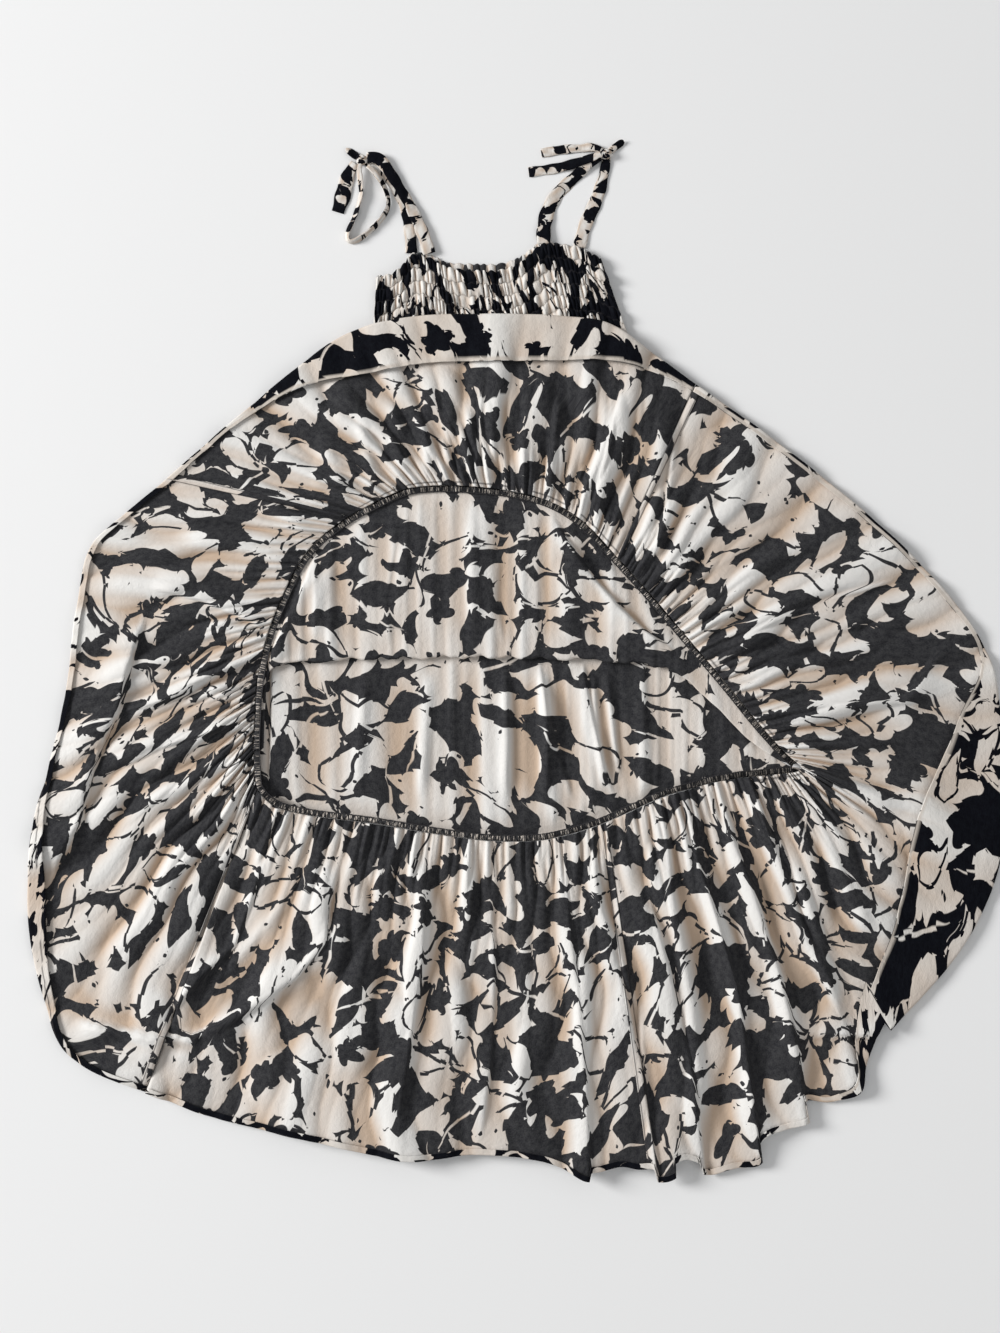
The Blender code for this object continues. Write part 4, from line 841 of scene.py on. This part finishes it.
# %% Tables of the upper skirt's lines and creases
# each row: the place on the seam, counted in rays, and x and y of the place the cloth reaches there
FRONT_COLUMNS = (
    (1.8, -30.3, -11.2), (3.0, -30.2, -7.7), (4.6, -29.9, -3.2), (5.4, -29.3, -1.4),
    (6.6, -26.8, -0.7), (8.0, -22.6, -0.4), (10.0, -16.6, -0.2), (12.0, -11.2, -0.1),
    (14.0, -5.0, 0.0), (16.0, 3.0, -0.2), (18.0, 9.8, -0.4), (19.6, 15.4, -0.9),
    (21.0, 19.2, -2.0), (22.0, 23.4, -5.6), (23.0, 27.0, -9.2), (24.0, 29.2, -11.0),
    (25.0, 31.3, -12.3), (26.1, 32.9, -12.75),
)
BACK_COLUMNS = (
    (27.3, 33.5, -13.2), (28.2, 32.4, -12.9), (29.0, 31.0, -12.0), (30.0, 29.2, -10.2),
    (31.6, 26.6, -7.0), (33.0, 23.4, -3.4), (35.0, 18.8, -0.2), (37.0, 14.4, 1.2),
    (39.0, 9.0, 1.6), (42.0, 1.4, 1.7), (44.0, -9.2, 1.7), (45.0, -17.0, 1.6), (46.4, -26.4, 1.2),
    (47.2, -29.4, 0.6), (47.8, -30.1, -1.0), (48.4, -30.8, -7.0), (49.0, -31.16, -11.4),
)
Crease = namedtuple("Crease", "ray half_width height")
FRONT_CREASES = (
    Crease(6.2, 0.5, 0.25), Crease(8.3, 0.6, 0.30), Crease(10.2, 0.6, 0.20),
    Crease(12.4, 0.7, 0.30), Crease(14.1, 0.5, 0.35), Crease(15.6, 0.4, 0.25),
    Crease(17.2, 0.5, 0.32), Crease(18.9, 0.5, 0.24), Crease(20.4, 0.6, 0.26),
)
BACK_CREASES = (
    Crease(31.0, 0.7, 0.20), Crease(34.2, 0.9, 0.26), Crease(37.2, 0.7, 0.32),
    Crease(39.6, 0.5, 0.36), Crease(41.4, 0.5, 0.40), Crease(42.8, 0.4, 0.34),
    Crease(43.9, 0.4, 0.22), Crease(45.2, 0.4, 0.26), Crease(46.6, 0.4, 0.20),
)
print("lines across the upper skirt:", len(FRONT_COLUMNS), "and", len(BACK_COLUMNS))

# %% Helper: cloth inside the seam
CREASE_LIFT = 1.4
INNER_ROWS = [((i / 56) ** 1.1, 0.0, 0.0) for i in range(57)]
TURNED_ROWS = [(1.0, 22.5 * (i + 1), 0.0) for i in range(8)]
TURNED_ROWS += [(1.0, 180.0, (i + 1) / 4) for i in range(4)]


def inner_points(columns, count, rows, relief_of, overlaps, turned):
    """Points, places on the cloth and painted-shade levels between the seam and the line that a
    table gives.
    """
    table = np.array(columns, float)
    ray = np.linspace(table[0, 0], table[-1, 0], count)
    seam_x, seam_y, seam_z = along(RAYS, ray)[:, [0, 1, 4]].T
    order = np.interp(ray, table[:, 0], np.arange(len(table)))
    _, end_x, end_y = along(columns, order, closed=False).T
    reach = np.hypot(end_x - seam_x, end_y - seam_y)
    way_x, way_y = (end_x - seam_x) / reach, (end_y - seam_y) / reach
    share, roll, back = (np.array(rows)[:, k, None] for k in range(3))
    radius = (0.12 + 0.20 * ease((reach - 3.0) / 8.0)) * turned
    angle = np.radians(roll)
    sag = 0.16 * np.sin(1.35 * seam_x + 1.1 * np.sin(0.31 * seam_x))
    sag = sag + 0.08 * np.sin(3.3 * seam_x + 1.0)
    flat = reach - (radius + WALL / 2 - sag * ease(reach / 9.0)) * turned
    returned = np.minimum(1.5, 0.4 * reach) * back
    gone = GAP / 2 + (flat - GAP / 2) * share + radius * np.sin(angle) - returned
    x, y = seam_x + way_x * gone, seam_y + way_y * gone
    length = flat * share + radius * angle + returned
    relief = relief_of(x, y, share, reach, ray)
    steps, hidden = overlap_field(x, y, overlaps)
    steps = steps * (1.0 if turned else below_fold(y))
    ground = np.maximum(seam_z, cover_height(x, y)) * turned
    z = ground + WALL / 2 + np.maximum(relief, DEEPEST) + steps - radius * (1 - np.cos(angle))
    cloth = joined(seam_x + way_x * length + hidden, seam_y + way_y * length) * CM
    # the last value sets painted shade in the hollows of creases, folds and overlaps
    return joined(x, y, z), cloth, unshaded_of(relief + steps, 14, 0.50)


def below_fold(y):
    """1 where the back of the skirt shows and 0 where the long fold of the front covers it."""
    return 1 - ease((y + 1.2) / 1.6)


def creases(table, ray):
    """The height of upright creases at these places along the seam."""
    near = (c.height * np.exp(-(((ray - c.ray) / c.half_width) ** 2)) for c in table)
    return CREASE_LIFT * sum(near)


def soft_upright(x, y, start):
    """Low rounded folds that run down the skirt, none as wide as the next."""
    wide = np.sin(1.35 * x + 1.1 * np.sin(0.31 * x + start) + 0.05 * y)
    fine = np.sin(3.1 * x + 1.7 * np.sin(0.47 * x - start) - 0.04 * y)
    return 0.17 * np.maximum(wide, 0.0) ** 1.3 + 0.07 * np.maximum(fine, 0.0)

# %% Front of the upper skirt, turned up
def front_relief(x, y, share, reach, ray):
    """Creases, soft upright folds and placed folds of the turned-up front."""
    away = share * reach
    rise = ease((away - 0.6) / 3.0) * (1 - 0.7 * ease((share - 0.75) / 0.25))
    relief = creases(FRONT_CREASES, ray) * rise + soft_upright(x, y, 0.5) * ease(away / 2.5)
    return relief + CREASE_LIFT * fold_field(x, y, INNER_FOLDS) * ease(away / 2.0)


points, cloth, unshaded = inner_points(
    FRONT_COLUMNS, 400, INNER_ROWS + TURNED_ROWS, front_relief, INNER_OVERLAPS, turned=True
)
cloth = cloth + (6.3, 1.1)
front = cloth_sheet("upper_skirt_front_cloth", points, cloth, unshaded, nodes=("upper_skirt_front",))

# %% Back of the upper skirt
def back_relief(x, y, share, reach, ray):
    """The same on the back, which is flat where the front covers it."""
    away = share * reach
    rise = ease((away - 0.6) / 3.0) * (1 - ease((share - 0.55) / 0.35))
    folds = fold_field(x, y, INNER_FOLDS) * ease(away / 2.0) * below_fold(y)
    upright = soft_upright(x, y, 2.1) * ease(away / 2.5) * below_fold(y)
    return creases(BACK_CREASES, ray) * rise + 1.5 * folds + upright


points, cloth, unshaded = inner_points(
    BACK_COLUMNS, 360, INNER_ROWS, back_relief, BACK_OVERLAPS, turned=False
)
cloth = cloth + (8.1, 2.3)
back = cloth_sheet("upper_skirt_back_cloth", points, cloth, unshaded, nodes=("upper_skirt_back",))

# %% [markdown]
# ## The smocked bodice
# The bodice is sewn with rows of elastic thread, which pull it into narrow upright pleats that are
# pinched at each row and puff out between the rows. Above the last row a small frill stands free
# along the neckline. The front shows the vivid right side. The back lies under it, and a narrow
# stretch of its inside shows above the front neckline.

# %% Table of the bodice's upper edge
# each row: x and y of a place on the neckline, from the wearer's right to left
BODICE_TOP = (
    (-16.8, 45.6), (-15.0, 45.9), (-13.6, 47.0), (-12.4, 48.2), (-10.0, 47.6), (-8.2, 46.6),
    (-4.0, 46.2), (-1.6, 46.4), (0.6, 47.4), (3.0, 49.4), (5.2, 49.3), (7.4, 49.1), (8.6, 48.4),
    (10.0, 47.8),
)
BODICE_BOTTOM_Y = 38.5
BODICE_BOTTOM_X = (-17.2, 13.3)
ROW_PITCH = 1.55
BODICE_FULLNESS = 2.6
ELASTIC_HALF_WIDTH = 0.085
ELASTIC_SHADE = 0.38
SCALLOP_DEPTH, SCALLOP_DROP = 0.24, 0.14


def scallops(share):
    """Small uneven waves of the frill along the neckline, 0 to 1."""
    return np.abs(np.sin(np.pi * (share * 30 + 0.2 * np.sin(share * 40))))


def bodice_points(count, rows, rise, relief_of):
    """Points, cloth places, painted-shade levels and elastic of a bodice panel from its hidden end
    to its top.
    """
    fine = np.linspace(0.0, len(BODICE_TOP) - 1.0, 400)
    run = run_of(along(BODICE_TOP, fine, closed=False))
    share = np.linspace(0.0, 1.0, count)
    top_x, top_y = along(BODICE_TOP, np.interp(share * run[-1], run, fine), closed=False).T
    top_y = top_y + rise * np.sin(np.pi * share) ** 2
    top_y = top_y + SCALLOP_DEPTH * scallops(share) - SCALLOP_DROP
    low_x = BODICE_BOTTOM_X[0] + (BODICE_BOTTOM_X[1] - BODICE_BOTTOM_X[0]) * share
    up = np.linspace(0.0, 1.0, rows)[:, None]
    x = low_x + (top_x - low_x) * up
    y = BODICE_BOTTOM_Y + (top_y - BODICE_BOTTOM_Y) * up
    row = (top_y - y) / ROW_PITCH
    relief = relief_of(share, row)
    wide = (BODICE_BOTTOM_X[1] - BODICE_BOTTOM_X[0]) * BODICE_FULLNESS
    share = share + 0.006 * np.sin(share * 61 + 1.7 * np.floor(row))
    away = np.abs(row - np.maximum(np.round(row), 1.0)) * ROW_PITCH
    elastic = np.where(away < ELASTIC_HALF_WIDTH, ELASTIC_SHADE, 0.0)
    points, cloth = joined(x, y, WALL / 2 + relief), joined(share * wide, y) * CM
    # the third value sets painted shade in the hollows of the pleats
    return points, cloth, unshaded_of(relief, 6, 0.22), elastic


print("places along the neckline:", len(BODICE_TOP))

# %% Smocked front
PLEATS = 46
FRONT_LEVEL = 0.50


def smocking(share, row):
    """Pleats pinched at each row of elastic, and a looser frill above the last row."""
    between = np.floor(row)
    sway = 0.55 * np.sin(share * 31 + between * 2.1) + 0.35 * np.sin(share * 83 + between * 4.7)
    place = share * PLEATS + 1.1 * np.sin(share * 23) + sway * 0.7
    size = 0.25 + 0.75 * scatter(np.floor(place) + 57 * between, 4)
    pinch = 0.16 + 0.84 * np.abs(np.sin(np.pi * row)) ** 0.6
    pleat = np.abs(np.sin(np.pi * place)) ** 0.8 * size * pinch * 0.56
    bunch = 0.26 * np.sin(share * 19 + 1.3 * between) * np.abs(np.sin(np.pi * row))
    frill = 0.30 * scallops(share) * np.maximum(1 - 2 * row, 0.0)
    return pleat + np.maximum(bunch, 0.0) + frill


points, cloth, unshaded, elastic = bodice_points(460, 76, 0.0, smocking)
points[..., 2] += FRONT_LEVEL
cloth = cloth + (1.7, 0.9)
sides = (right_side, wrong_side)
bodice = cloth_sheet("bodice_front_cloth", points, cloth, unshaded, elastic, sides, ("bodice_front",))

# %% Back of the bodice
BACK_LEVEL = 0.07


def back_smocking(share, row):
    """Plainer pleats for the back, pinched in the same way."""
    pleat = 0.24 * np.abs(np.sin(np.pi * (share * 26 + 0.3 * np.sin(share * 27)))) ** 0.8
    return pleat * (0.4 + 0.6 * np.abs(np.sin(np.pi * row)) ** 0.6)


points, cloth, unshaded, _ = bodice_points(260, 40, 0.9, back_smocking)
points[..., 2] += BACK_LEVEL
cloth = cloth + (3.3, 0.4)
bodice_back = cloth_sheet("bodice_back_cloth", points, cloth, unshaded, nodes=("bodice_back",))

# %% [markdown]
# ## Ties, bows and knots
# Each shoulder is held by two straps of folded cloth, tied in a small bow. A strap is a closed
# flat tube of cloth: rings of points follow its middle line, lean with it and are creased
# lengthwise, as a turned strap creases when it is pulled into a knot.

# %% Tables of the ties and knots
# each row: x, y and z of a place on the strap's middle line, its width and its tilt in degrees
TIES = {
    "tie_right_shoulder_front": (
        (-10.5, 48.35, 0.54, 1.5, 0), (-11.3, 50.8, 0.52, 1.5, 0), (-12.5, 53.5, 0.56, 1.4, 10),
        (-13.8, 55.8, 0.58, 1.3, 20), (-15.2, 58.0, 0.60, 1.4, 10), (-16.6, 59.7, 0.66, 1.5, 0),
        (-18.0, 59.8, 0.66, 1.3, 0),
    ),
    "tie_right_shoulder_back": (
        (-12.7, 48.52, 0.14, 1.4, 0), (-12.8, 50.8, 0.12, 1.4, 0), (-13.3, 53.5, 0.12, 1.3, 0),
        (-14.4, 56.0, 0.12, 1.2, 0), (-15.9, 58.0, 0.14, 1.2, 0), (-18.0, 59.5, 0.20, 1.1, 0),
    ),
    "bow_right_tail": (
        (-19.4, 59.3, 0.24, 1.0, 0), (-20.3, 57.7, 0.12, 1.6, 0), (-20.8, 55.7, 0.12, 1.9, 0),
        (-21.5, 53.4, 0.12, 1.5, 0),
    ),
    "bow_right_loop": (
        (-18.7, 59.4, 0.60, 0.6, 0), (-18.9, 58.4, 0.62, 0.6, 5), (-18.8, 57.3, 0.60, 0.8, 30),
        (-18.7, 55.5, 0.48, 0.8, 50), (-19.4, 53.0, 0.38, 0.8, 50), (-20.3, 50.9, 0.40, 0.8, 50),
        (-20.1, 49.9, 0.42, 0.8, 60), (-19.0, 50.1, 0.40, 0.8, 50), (-17.2, 51.5, 0.38, 0.8, 50),
        (-15.8, 53.2, 0.40, 0.8, 55), (-15.4, 54.6, 0.44, 0.8, 60), (-15.9, 56.4, 0.50, 0.8, 45),
        (-16.9, 57.9, 0.64, 0.7, 20), (-17.9, 58.85, 0.68, 0.6, 5),
    ),
    "bow_right_small_loop": (
        (-18.9, 59.8, 0.30, 1.0, 0), (-19.7, 60.4, 0.30, 1.1, 30), (-20.5, 61.0, 0.30, 0.9, 30),
    ),
    "tie_left_shoulder_front": (
        (3.2, 49.52, 0.58, 1.6, 0), (3.2, 51.3, 0.42, 1.7, 0), (3.7, 53.5, 0.16, 1.7, 0),
        (4.8, 55.5, 0.14, 1.6, 10), (6.7, 57.4, 0.16, 1.4, 10), (8.9, 59.3, 0.40, 1.1, 0),
        (10.6, 60.4, 0.60, 0.9, 0),
    ),
    "tie_left_shoulder_back": (
        (7.5, 49.22, 0.20, 1.5, 0), (8.0, 51.3, 0.14, 1.6, 0), (8.9, 53.5, 0.12, 1.6, 0),
        (9.8, 55.7, 0.12, 1.5, 0), (10.4, 57.9, 0.14, 1.2, 0), (10.8, 60.2, 0.26, 1.0, 0),
    ),
    "bow_left_small_loop": (
        (10.8, 60.4, 0.30, 0.8, 0), (11.8, 61.2, 0.30, 0.9, 20), (12.8, 61.9, 0.30, 1.0, 30),
    ),
    "bow_left_upper_tail": (
        (10.5, 60.5, 0.36, 0.7, 0), (9.6, 61.0, 0.34, 0.9, 0), (8.6, 61.2, 0.26, 1.0, 0),
        (7.8, 61.1, 0.14, 1.0, 0), (5.4, 60.9, 0.12, 1.1, 0), (2.9, 60.5, 0.12, 1.1, 0),
    ),
    "bow_left_lower_tail": (
        (10.6, 60.3, 0.84, 0.8, 0), (9.2, 59.9, 0.80, 0.9, 0), (7.6, 59.4, 0.50, 1.1, 0),
        (4.8, 58.7, 0.14, 1.2, 0), (1.4, 58.2, 0.12, 1.2, 0),
    ),
}
Knot = namedtuple("Knot", "x y z half_x half_y half_z")
KNOTS = {
    "knot_right_shoulder": Knot(-18.6, 59.6, 0.50, 0.75, 0.65, 0.48),
    "knot_left_shoulder": Knot(10.7, 60.3, 0.50, 0.75, 0.65, 0.48),
}
print("ties:", len(TIES), "knots:", len(KNOTS))

# %% Helper: a closed tube of cloth
def tube_of_cloth(name, rings, cloth, unshaded, finish, nodes, wall=0.0):
    """A form through rings of points in centimetres: solid, or a tube of cloth with open ends."""
    count, sides = rings.shape[:2]
    index = np.arange(count * sides).reshape(count, sides)
    after = np.roll(index, -1, axis=1)
    faces = joined(index[:-1], after[:-1], after[1:], index[1:]).reshape(-1, 4).tolist()
    corners = [cloth[:-1, :-1], cloth[:-1, 1:], cloth[1:, 1:], cloth[1:, :-1]]
    places = np.stack(corners, axis=2).reshape(-1, 2)
    if not wall:
        faces += [index[0][::-1].tolist(), index[-1].tolist()]
    ends = [cloth[0, :-1][::-1], cloth[-1, :-1]]
    middle = rings.mean(axis=1, keepdims=True)
    ahead = np.gradient(middle[:, 0], axis=0)
    swing = np.cross(rings[:, 0] - middle[:, 0], rings[:, 1] - middle[:, 0])
    if (swing * ahead).sum() < 0:
        faces = [face[::-1] for face in faces]
        places = places.reshape(-1, 4, 2)[:, ::-1].reshape(-1, 2)
        ends = [end[::-1] for end in ends]
    places = places if wall else np.concatenate([places, *ends])
    piece = cloth_form(name, rings, faces, places, unshaded, 0.0, [finish])
    if wall:
        solid = piece.modifiers.new("thickness", "SOLIDIFY")
        solid.thickness, solid.offset = wall, -1.0
    finish_piece(piece, nodes)
    area = sum(face.area for face in piece.data.polygons) / 2
    print(name, "rings:", count, "cloth in square metres:", round(area, 5))
    return piece

# %% Straps, loops and tails
TIE_SIDES = 16
TIE_WALL = 0.0004
TIE_PRINT = 1.8
RING_PITCH = 0.14
for number, (name, stops) in enumerate(TIES.items()):
    fine = along(stops, np.linspace(0.0, len(stops) - 1.0, 60 * len(stops)), closed=False)
    run = run_of(fine[:, :2])
    at = np.linspace(0.0, run[-1], max(12, int(run[-1] / RING_PITCH)))[:, None]
    x, y, z, width, tilt = (np.interp(at, run, fine[:, k]) for k in range(5))
    ahead_x, ahead_y = np.gradient(x, axis=0), np.gradient(y, axis=0)
    size = np.hypot(ahead_x, ahead_y)
    side_x, side_y = -ahead_y / size, ahead_x / size
    turn = 2 * np.pi * np.arange(TIE_SIDES) / TIE_SIDES
    lean = np.radians(tilt)
    crease = 0.05 * np.sin(3.0 * turn + at * 1.3 + number) + 0.04 * np.sin(5.0 * turn - at * 2.1)
    half = width / 2 * (1 + 0.06 * np.sin(at * 2.7 + number))
    to_end = np.minimum(at, run[-1] - at)
    if name.endswith("small_loop"):
        half = half * np.sqrt(1 - 0.85 * np.clip(1 - to_end / 0.8, 0, 1) ** 2)
    ends = ease((at + 0.1) / 0.5) * ease((run[-1] + 0.1 - at) / 0.5)
    thick = (0.10 + np.abs(crease)) * (0.45 + 0.55 * ends)
    across, up = np.sign(np.cos(turn)) * np.abs(np.cos(turn)) ** 0.7 * half, np.sin(turn) * thick
    level = across * np.cos(lean) - up * np.sin(lean)
    rise = across * np.sin(lean) + up * np.cos(lean)
    rings = joined(x + side_x * level, y + side_y * level, np.maximum(z + rise, 0.0))
    around = np.arange(TIE_SIDES + 1) / TIE_SIDES * (2 * width + 0.3)
    cloth = joined(around, at) * CM * TIE_PRINT + (0.21 * number, 0.5)
    # painted shade: cream turns towards tan in the strap's lengthwise creases
    unshaded = np.clip(0.6 + crease * 6, 0, 1)
    piece = tube_of_cloth(name + "_cloth", rings, cloth, unshaded, right_side, (name,), TIE_WALL)

# %% Knots
KNOT_RINGS, KNOT_SIDES = 22, 40
for name, knot in KNOTS.items():
    lat = np.pi * ((np.arange(KNOT_RINGS) + 0.5) / KNOT_RINGS - 0.5)[:, None]
    turn = 2 * np.pi * np.arange(KNOT_SIDES) / KNOT_SIDES
    wraps = 0.5 + 0.5 * np.cos(3 * turn + 2.5 * lat)
    out = np.cos(lat) * (0.86 + 0.20 * wraps**0.6)
    rings = joined(
        knot.x + knot.half_x * out * np.cos(turn),
        knot.y + knot.half_y * out * np.sin(turn),
        knot.z + knot.half_z * np.sin(lat),
    )
    cloth = joined(np.linspace(0, 4.4, KNOT_SIDES + 1), lat * 0.6) * CM * TIE_PRINT
    # the wraps also set painted shade: cream turns towards tan between them
    piece = tube_of_cloth(name + "_cloth", rings, cloth, wraps, right_side, (name,))

# %% [markdown]
# ## The gathered seam
# The raw edges of the gathered seam stand up inside the loop, trimmed and overlocked together. On
# the real dress that is a narrow band of squeezed cloth under a ladder of dark thread. The band is
# one closed form, and the thread a thin cord laid to and fro across it, with a chain along its
# free edge.

# %% Thread finish
THREAD = (0.012, 0.011, 0.013)


def thread_finish(name, colour):
    """Thread with slightly lighter fibres in it."""
    board = Board(name)
    place = board.value(board.node("ShaderNodeTexCoord"), "Object")
    lighter = tuple(min(1.0, channel * 1.8 + 0.01) for channel in colour)
    fibre = board.noise(place, 1400.0, 1.0, "3D")
    board.feed("Base Color", board.mix(fibre, colour, lighter))
    board.feed("Roughness", 0.6)
    return board.material


dark_thread = thread_finish("overlock_thread_dark", THREAD)
print("thread finish:", dark_thread.name)

# %% Finish of the trimmed edge under the thread
STRAND_DARK, STRAND_LIGHT = (0.008, 0.008, 0.010), (0.040, 0.039, 0.042)
DASH = (0.56, 0.50, 0.44)


def trimmed_edge_finish(name):
    """Dark thread packed side by side, with short dashes of the cream cloth between the strands."""
    board = Board(name)
    place = board.value(board.node("ShaderNodeUVMap", {"uv_map": "cloth"}))
    stretched = board.vector("MULTIPLY", place, (1.0, 0.22, 1.0))
    dash = ((board.noise(stretched, 330.0, 1.5, "3D") - 0.535) * 24.0).clipped()
    thread = board.mix(board.noise(stretched, 1100.0, 1.0, "3D"), STRAND_DARK, STRAND_LIGHT)
    board.feed("Base Color", board.mix(dash, thread, DASH))
    board.feed("Roughness", 0.75)
    return board.material


trimmed_edge = trimmed_edge_finish("trimmed_edge")
print("trimmed edge finish:", trimmed_edge.name)

# %% Helpers for the overlocked edges
def seam_frame(start, end, count):
    """Places along the seam: the middle of it, the direction inwards, the height and the run."""
    x, y, z = along(RAYS, np.linspace(start, end, count))[:, [0, 1, 4]].T
    ahead_x, ahead_y = np.gradient(x), np.gradient(y)
    size = np.hypot(ahead_x, ahead_y)
    in_x, in_y = ahead_y / size, -ahead_x / size
    ground = np.maximum(z, cover_height(x + in_x * 1.6, y + in_y * 1.6))
    return x, y, in_x, in_y, ground, np.concatenate([[0.0], np.cumsum(size[1:])])


def lay_cord(curve, path, thickness):
    """One more cord of a curve along a path in centimetres, thicker or thinner than its bevel."""
    spline = curve.splines.new("POLY")
    spline.points.add(len(path) - 1)
    ends = np.ones(len(path))
    spline.points.foreach_set("co", np.column_stack([path * CM, ends]).ravel())
    spline.points.foreach_set("radius", ends * thickness)

# %% Overlocked bands and their threads
BAND_SIDES = 10
BAND_RINGS = 700
STITCH_PITCH = 0.17
THREAD_RADIUS = 0.00042
Strip = namedtuple("Strip", "name start end")
for strip in (Strip("seam_edges_front", 1.85, 25.8), Strip("seam_edges_back", 28.3, 49.8)):
    places = seam_frame(strip.start, strip.end, BAND_RINGS)
    x, y, in_x, in_y, ground, run = (value[:, None] for value in places)
    turn = 2 * np.pi * np.arange(BAND_SIDES) / BAND_SIDES
    ripple = 0.03 * np.sin(run * 6.3 + 2.1 * np.sin(run * 0.9))
    ripple = ripple + 0.03 * np.sin(run * 2.7 + 1.3 * np.sin(run * 0.53))
    half = 1 + 0.16 * np.sin(run * 0.83 + 1.4 * np.sin(run * 0.31)) + 0.10 * np.sin(run * 2.3)
    across = 0.40 + 0.31 * half * np.sign(np.cos(turn)) * np.abs(np.cos(turn)) ** 0.6
    rise = 0.30 + 0.08 * np.sin(turn) + ripple
    rings = joined(x + in_x * across, y + in_y * across, ground + rise)
    cloth = joined(run * 2.2, np.arange(BAND_SIDES + 1) / BAND_SIDES * 1.8) * CM
    unshaded = np.clip(0.6 + 6 * ripple, 0, 1)
    band = tube_of_cloth(strip.name + "_band", rings, cloth, unshaded, trimmed_edge, (strip.name,))
    stitches = int(run[-1, 0] / STITCH_PITCH)
    x, y, in_x, in_y, ground, _ = seam_frame(strip.start, strip.end, stitches)
    thread = bpy.data.curves.new(strip.name + "_thread", "CURVE")
    thread.dimensions, thread.bevel_depth, thread.bevel_resolution = "3D", THREAD_RADIUS, 0
    thread.resolution_u = 1
    odd = np.arange(stitches) % 2
    side = 0.08 + 0.62 * odd
    lay_cord(thread, joined(x + in_x * side, y + in_y * side, ground + 0.42), 1.0)
    chain = joined(x + in_x * 0.73, y + in_y * 0.73, ground + 0.36 + 0.05 * odd)
    lay_cord(thread, chain, np.where(np.arange(stitches) % 3 == 0, 1.9, 1.3))
    piece = added(strip.name + "_thread", thread)
    pick(piece)
    bpy.ops.object.convert(target="MESH")
    piece.data.materials.clear()
    piece.data.materials.append(dark_thread)
    finish_piece(piece, ())
    print("  stitches:", stitches)

# %% [markdown]
# ## Side seams of the flounce
# Where two widths of the flounce meet, their edges are overlocked and lie to one side as a narrow
# band from the gathered seam to the hem.

# %% Side seams
SIDE_COLUMNS = 8
SideSeam = namedtuple("SideSeam", "ray width")
SIDE_SEAMS = (SideSeam(0, 1.0), SideSeam(10, 1.0), SideSeam(19, 1.0), SideSeam(39, 1.1))
for number, seam in enumerate(SIDE_SEAMS):
    cut = LENGTHS[seam.ray] + np.linspace(-0.05, seam.width, SIDE_COLUMNS)
    keep = slice(3, FLAT_ROWS)
    points, cloth, unshaded = (part[keep] for part in flounce_points(np.maximum(cut, 0.0))[:3])
    points[..., 2] += 0.10 + 0.06 * np.sin(np.pi * np.linspace(0, 1, SIDE_COLUMNS))
    lines = np.isin(np.arange(SIDE_COLUMNS), (0, 6)) * 0.85
    piece = cloth_sheet(f"side_seam_{number}", points, cloth + (9.0 + number, 3.1), unshaded, lines)

# %% [markdown]
# ## Hidden layers
# Under the turned-up front lie the folded layers that no view shows, as one low stack. It gets the
# same cloth, with the print read from its place, and the layers' rounded edges.

# %% The stack of hidden layers
SAME_PLACE = 0.00005
ROUND_UP_TO = math.radians(40)
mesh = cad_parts["hidden_layers"].data.copy()
stack = added("hidden_layers_cloth", mesh)
pick(stack)
bpy.ops.object.mode_set(mode="EDIT")
bpy.ops.mesh.select_all(action="SELECT")
bpy.ops.mesh.remove_doubles(threshold=SAME_PLACE)
bpy.ops.object.mode_set(mode="OBJECT")
mesh.materials.clear()
mesh.materials.append(cloth_finish("crepe_hidden", WRONG_SIDE, from_uv=False))
finish_piece(stack, ("hidden_layers",))
bpy.ops.object.shade_smooth_by_angle(angle=ROUND_UP_TO)
print("hidden layers:", len(mesh.polygons), "faces")

# %% The solids still shown
shown = [name for name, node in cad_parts.items() if not node.hide_render]
print("solids still shown:", shown)
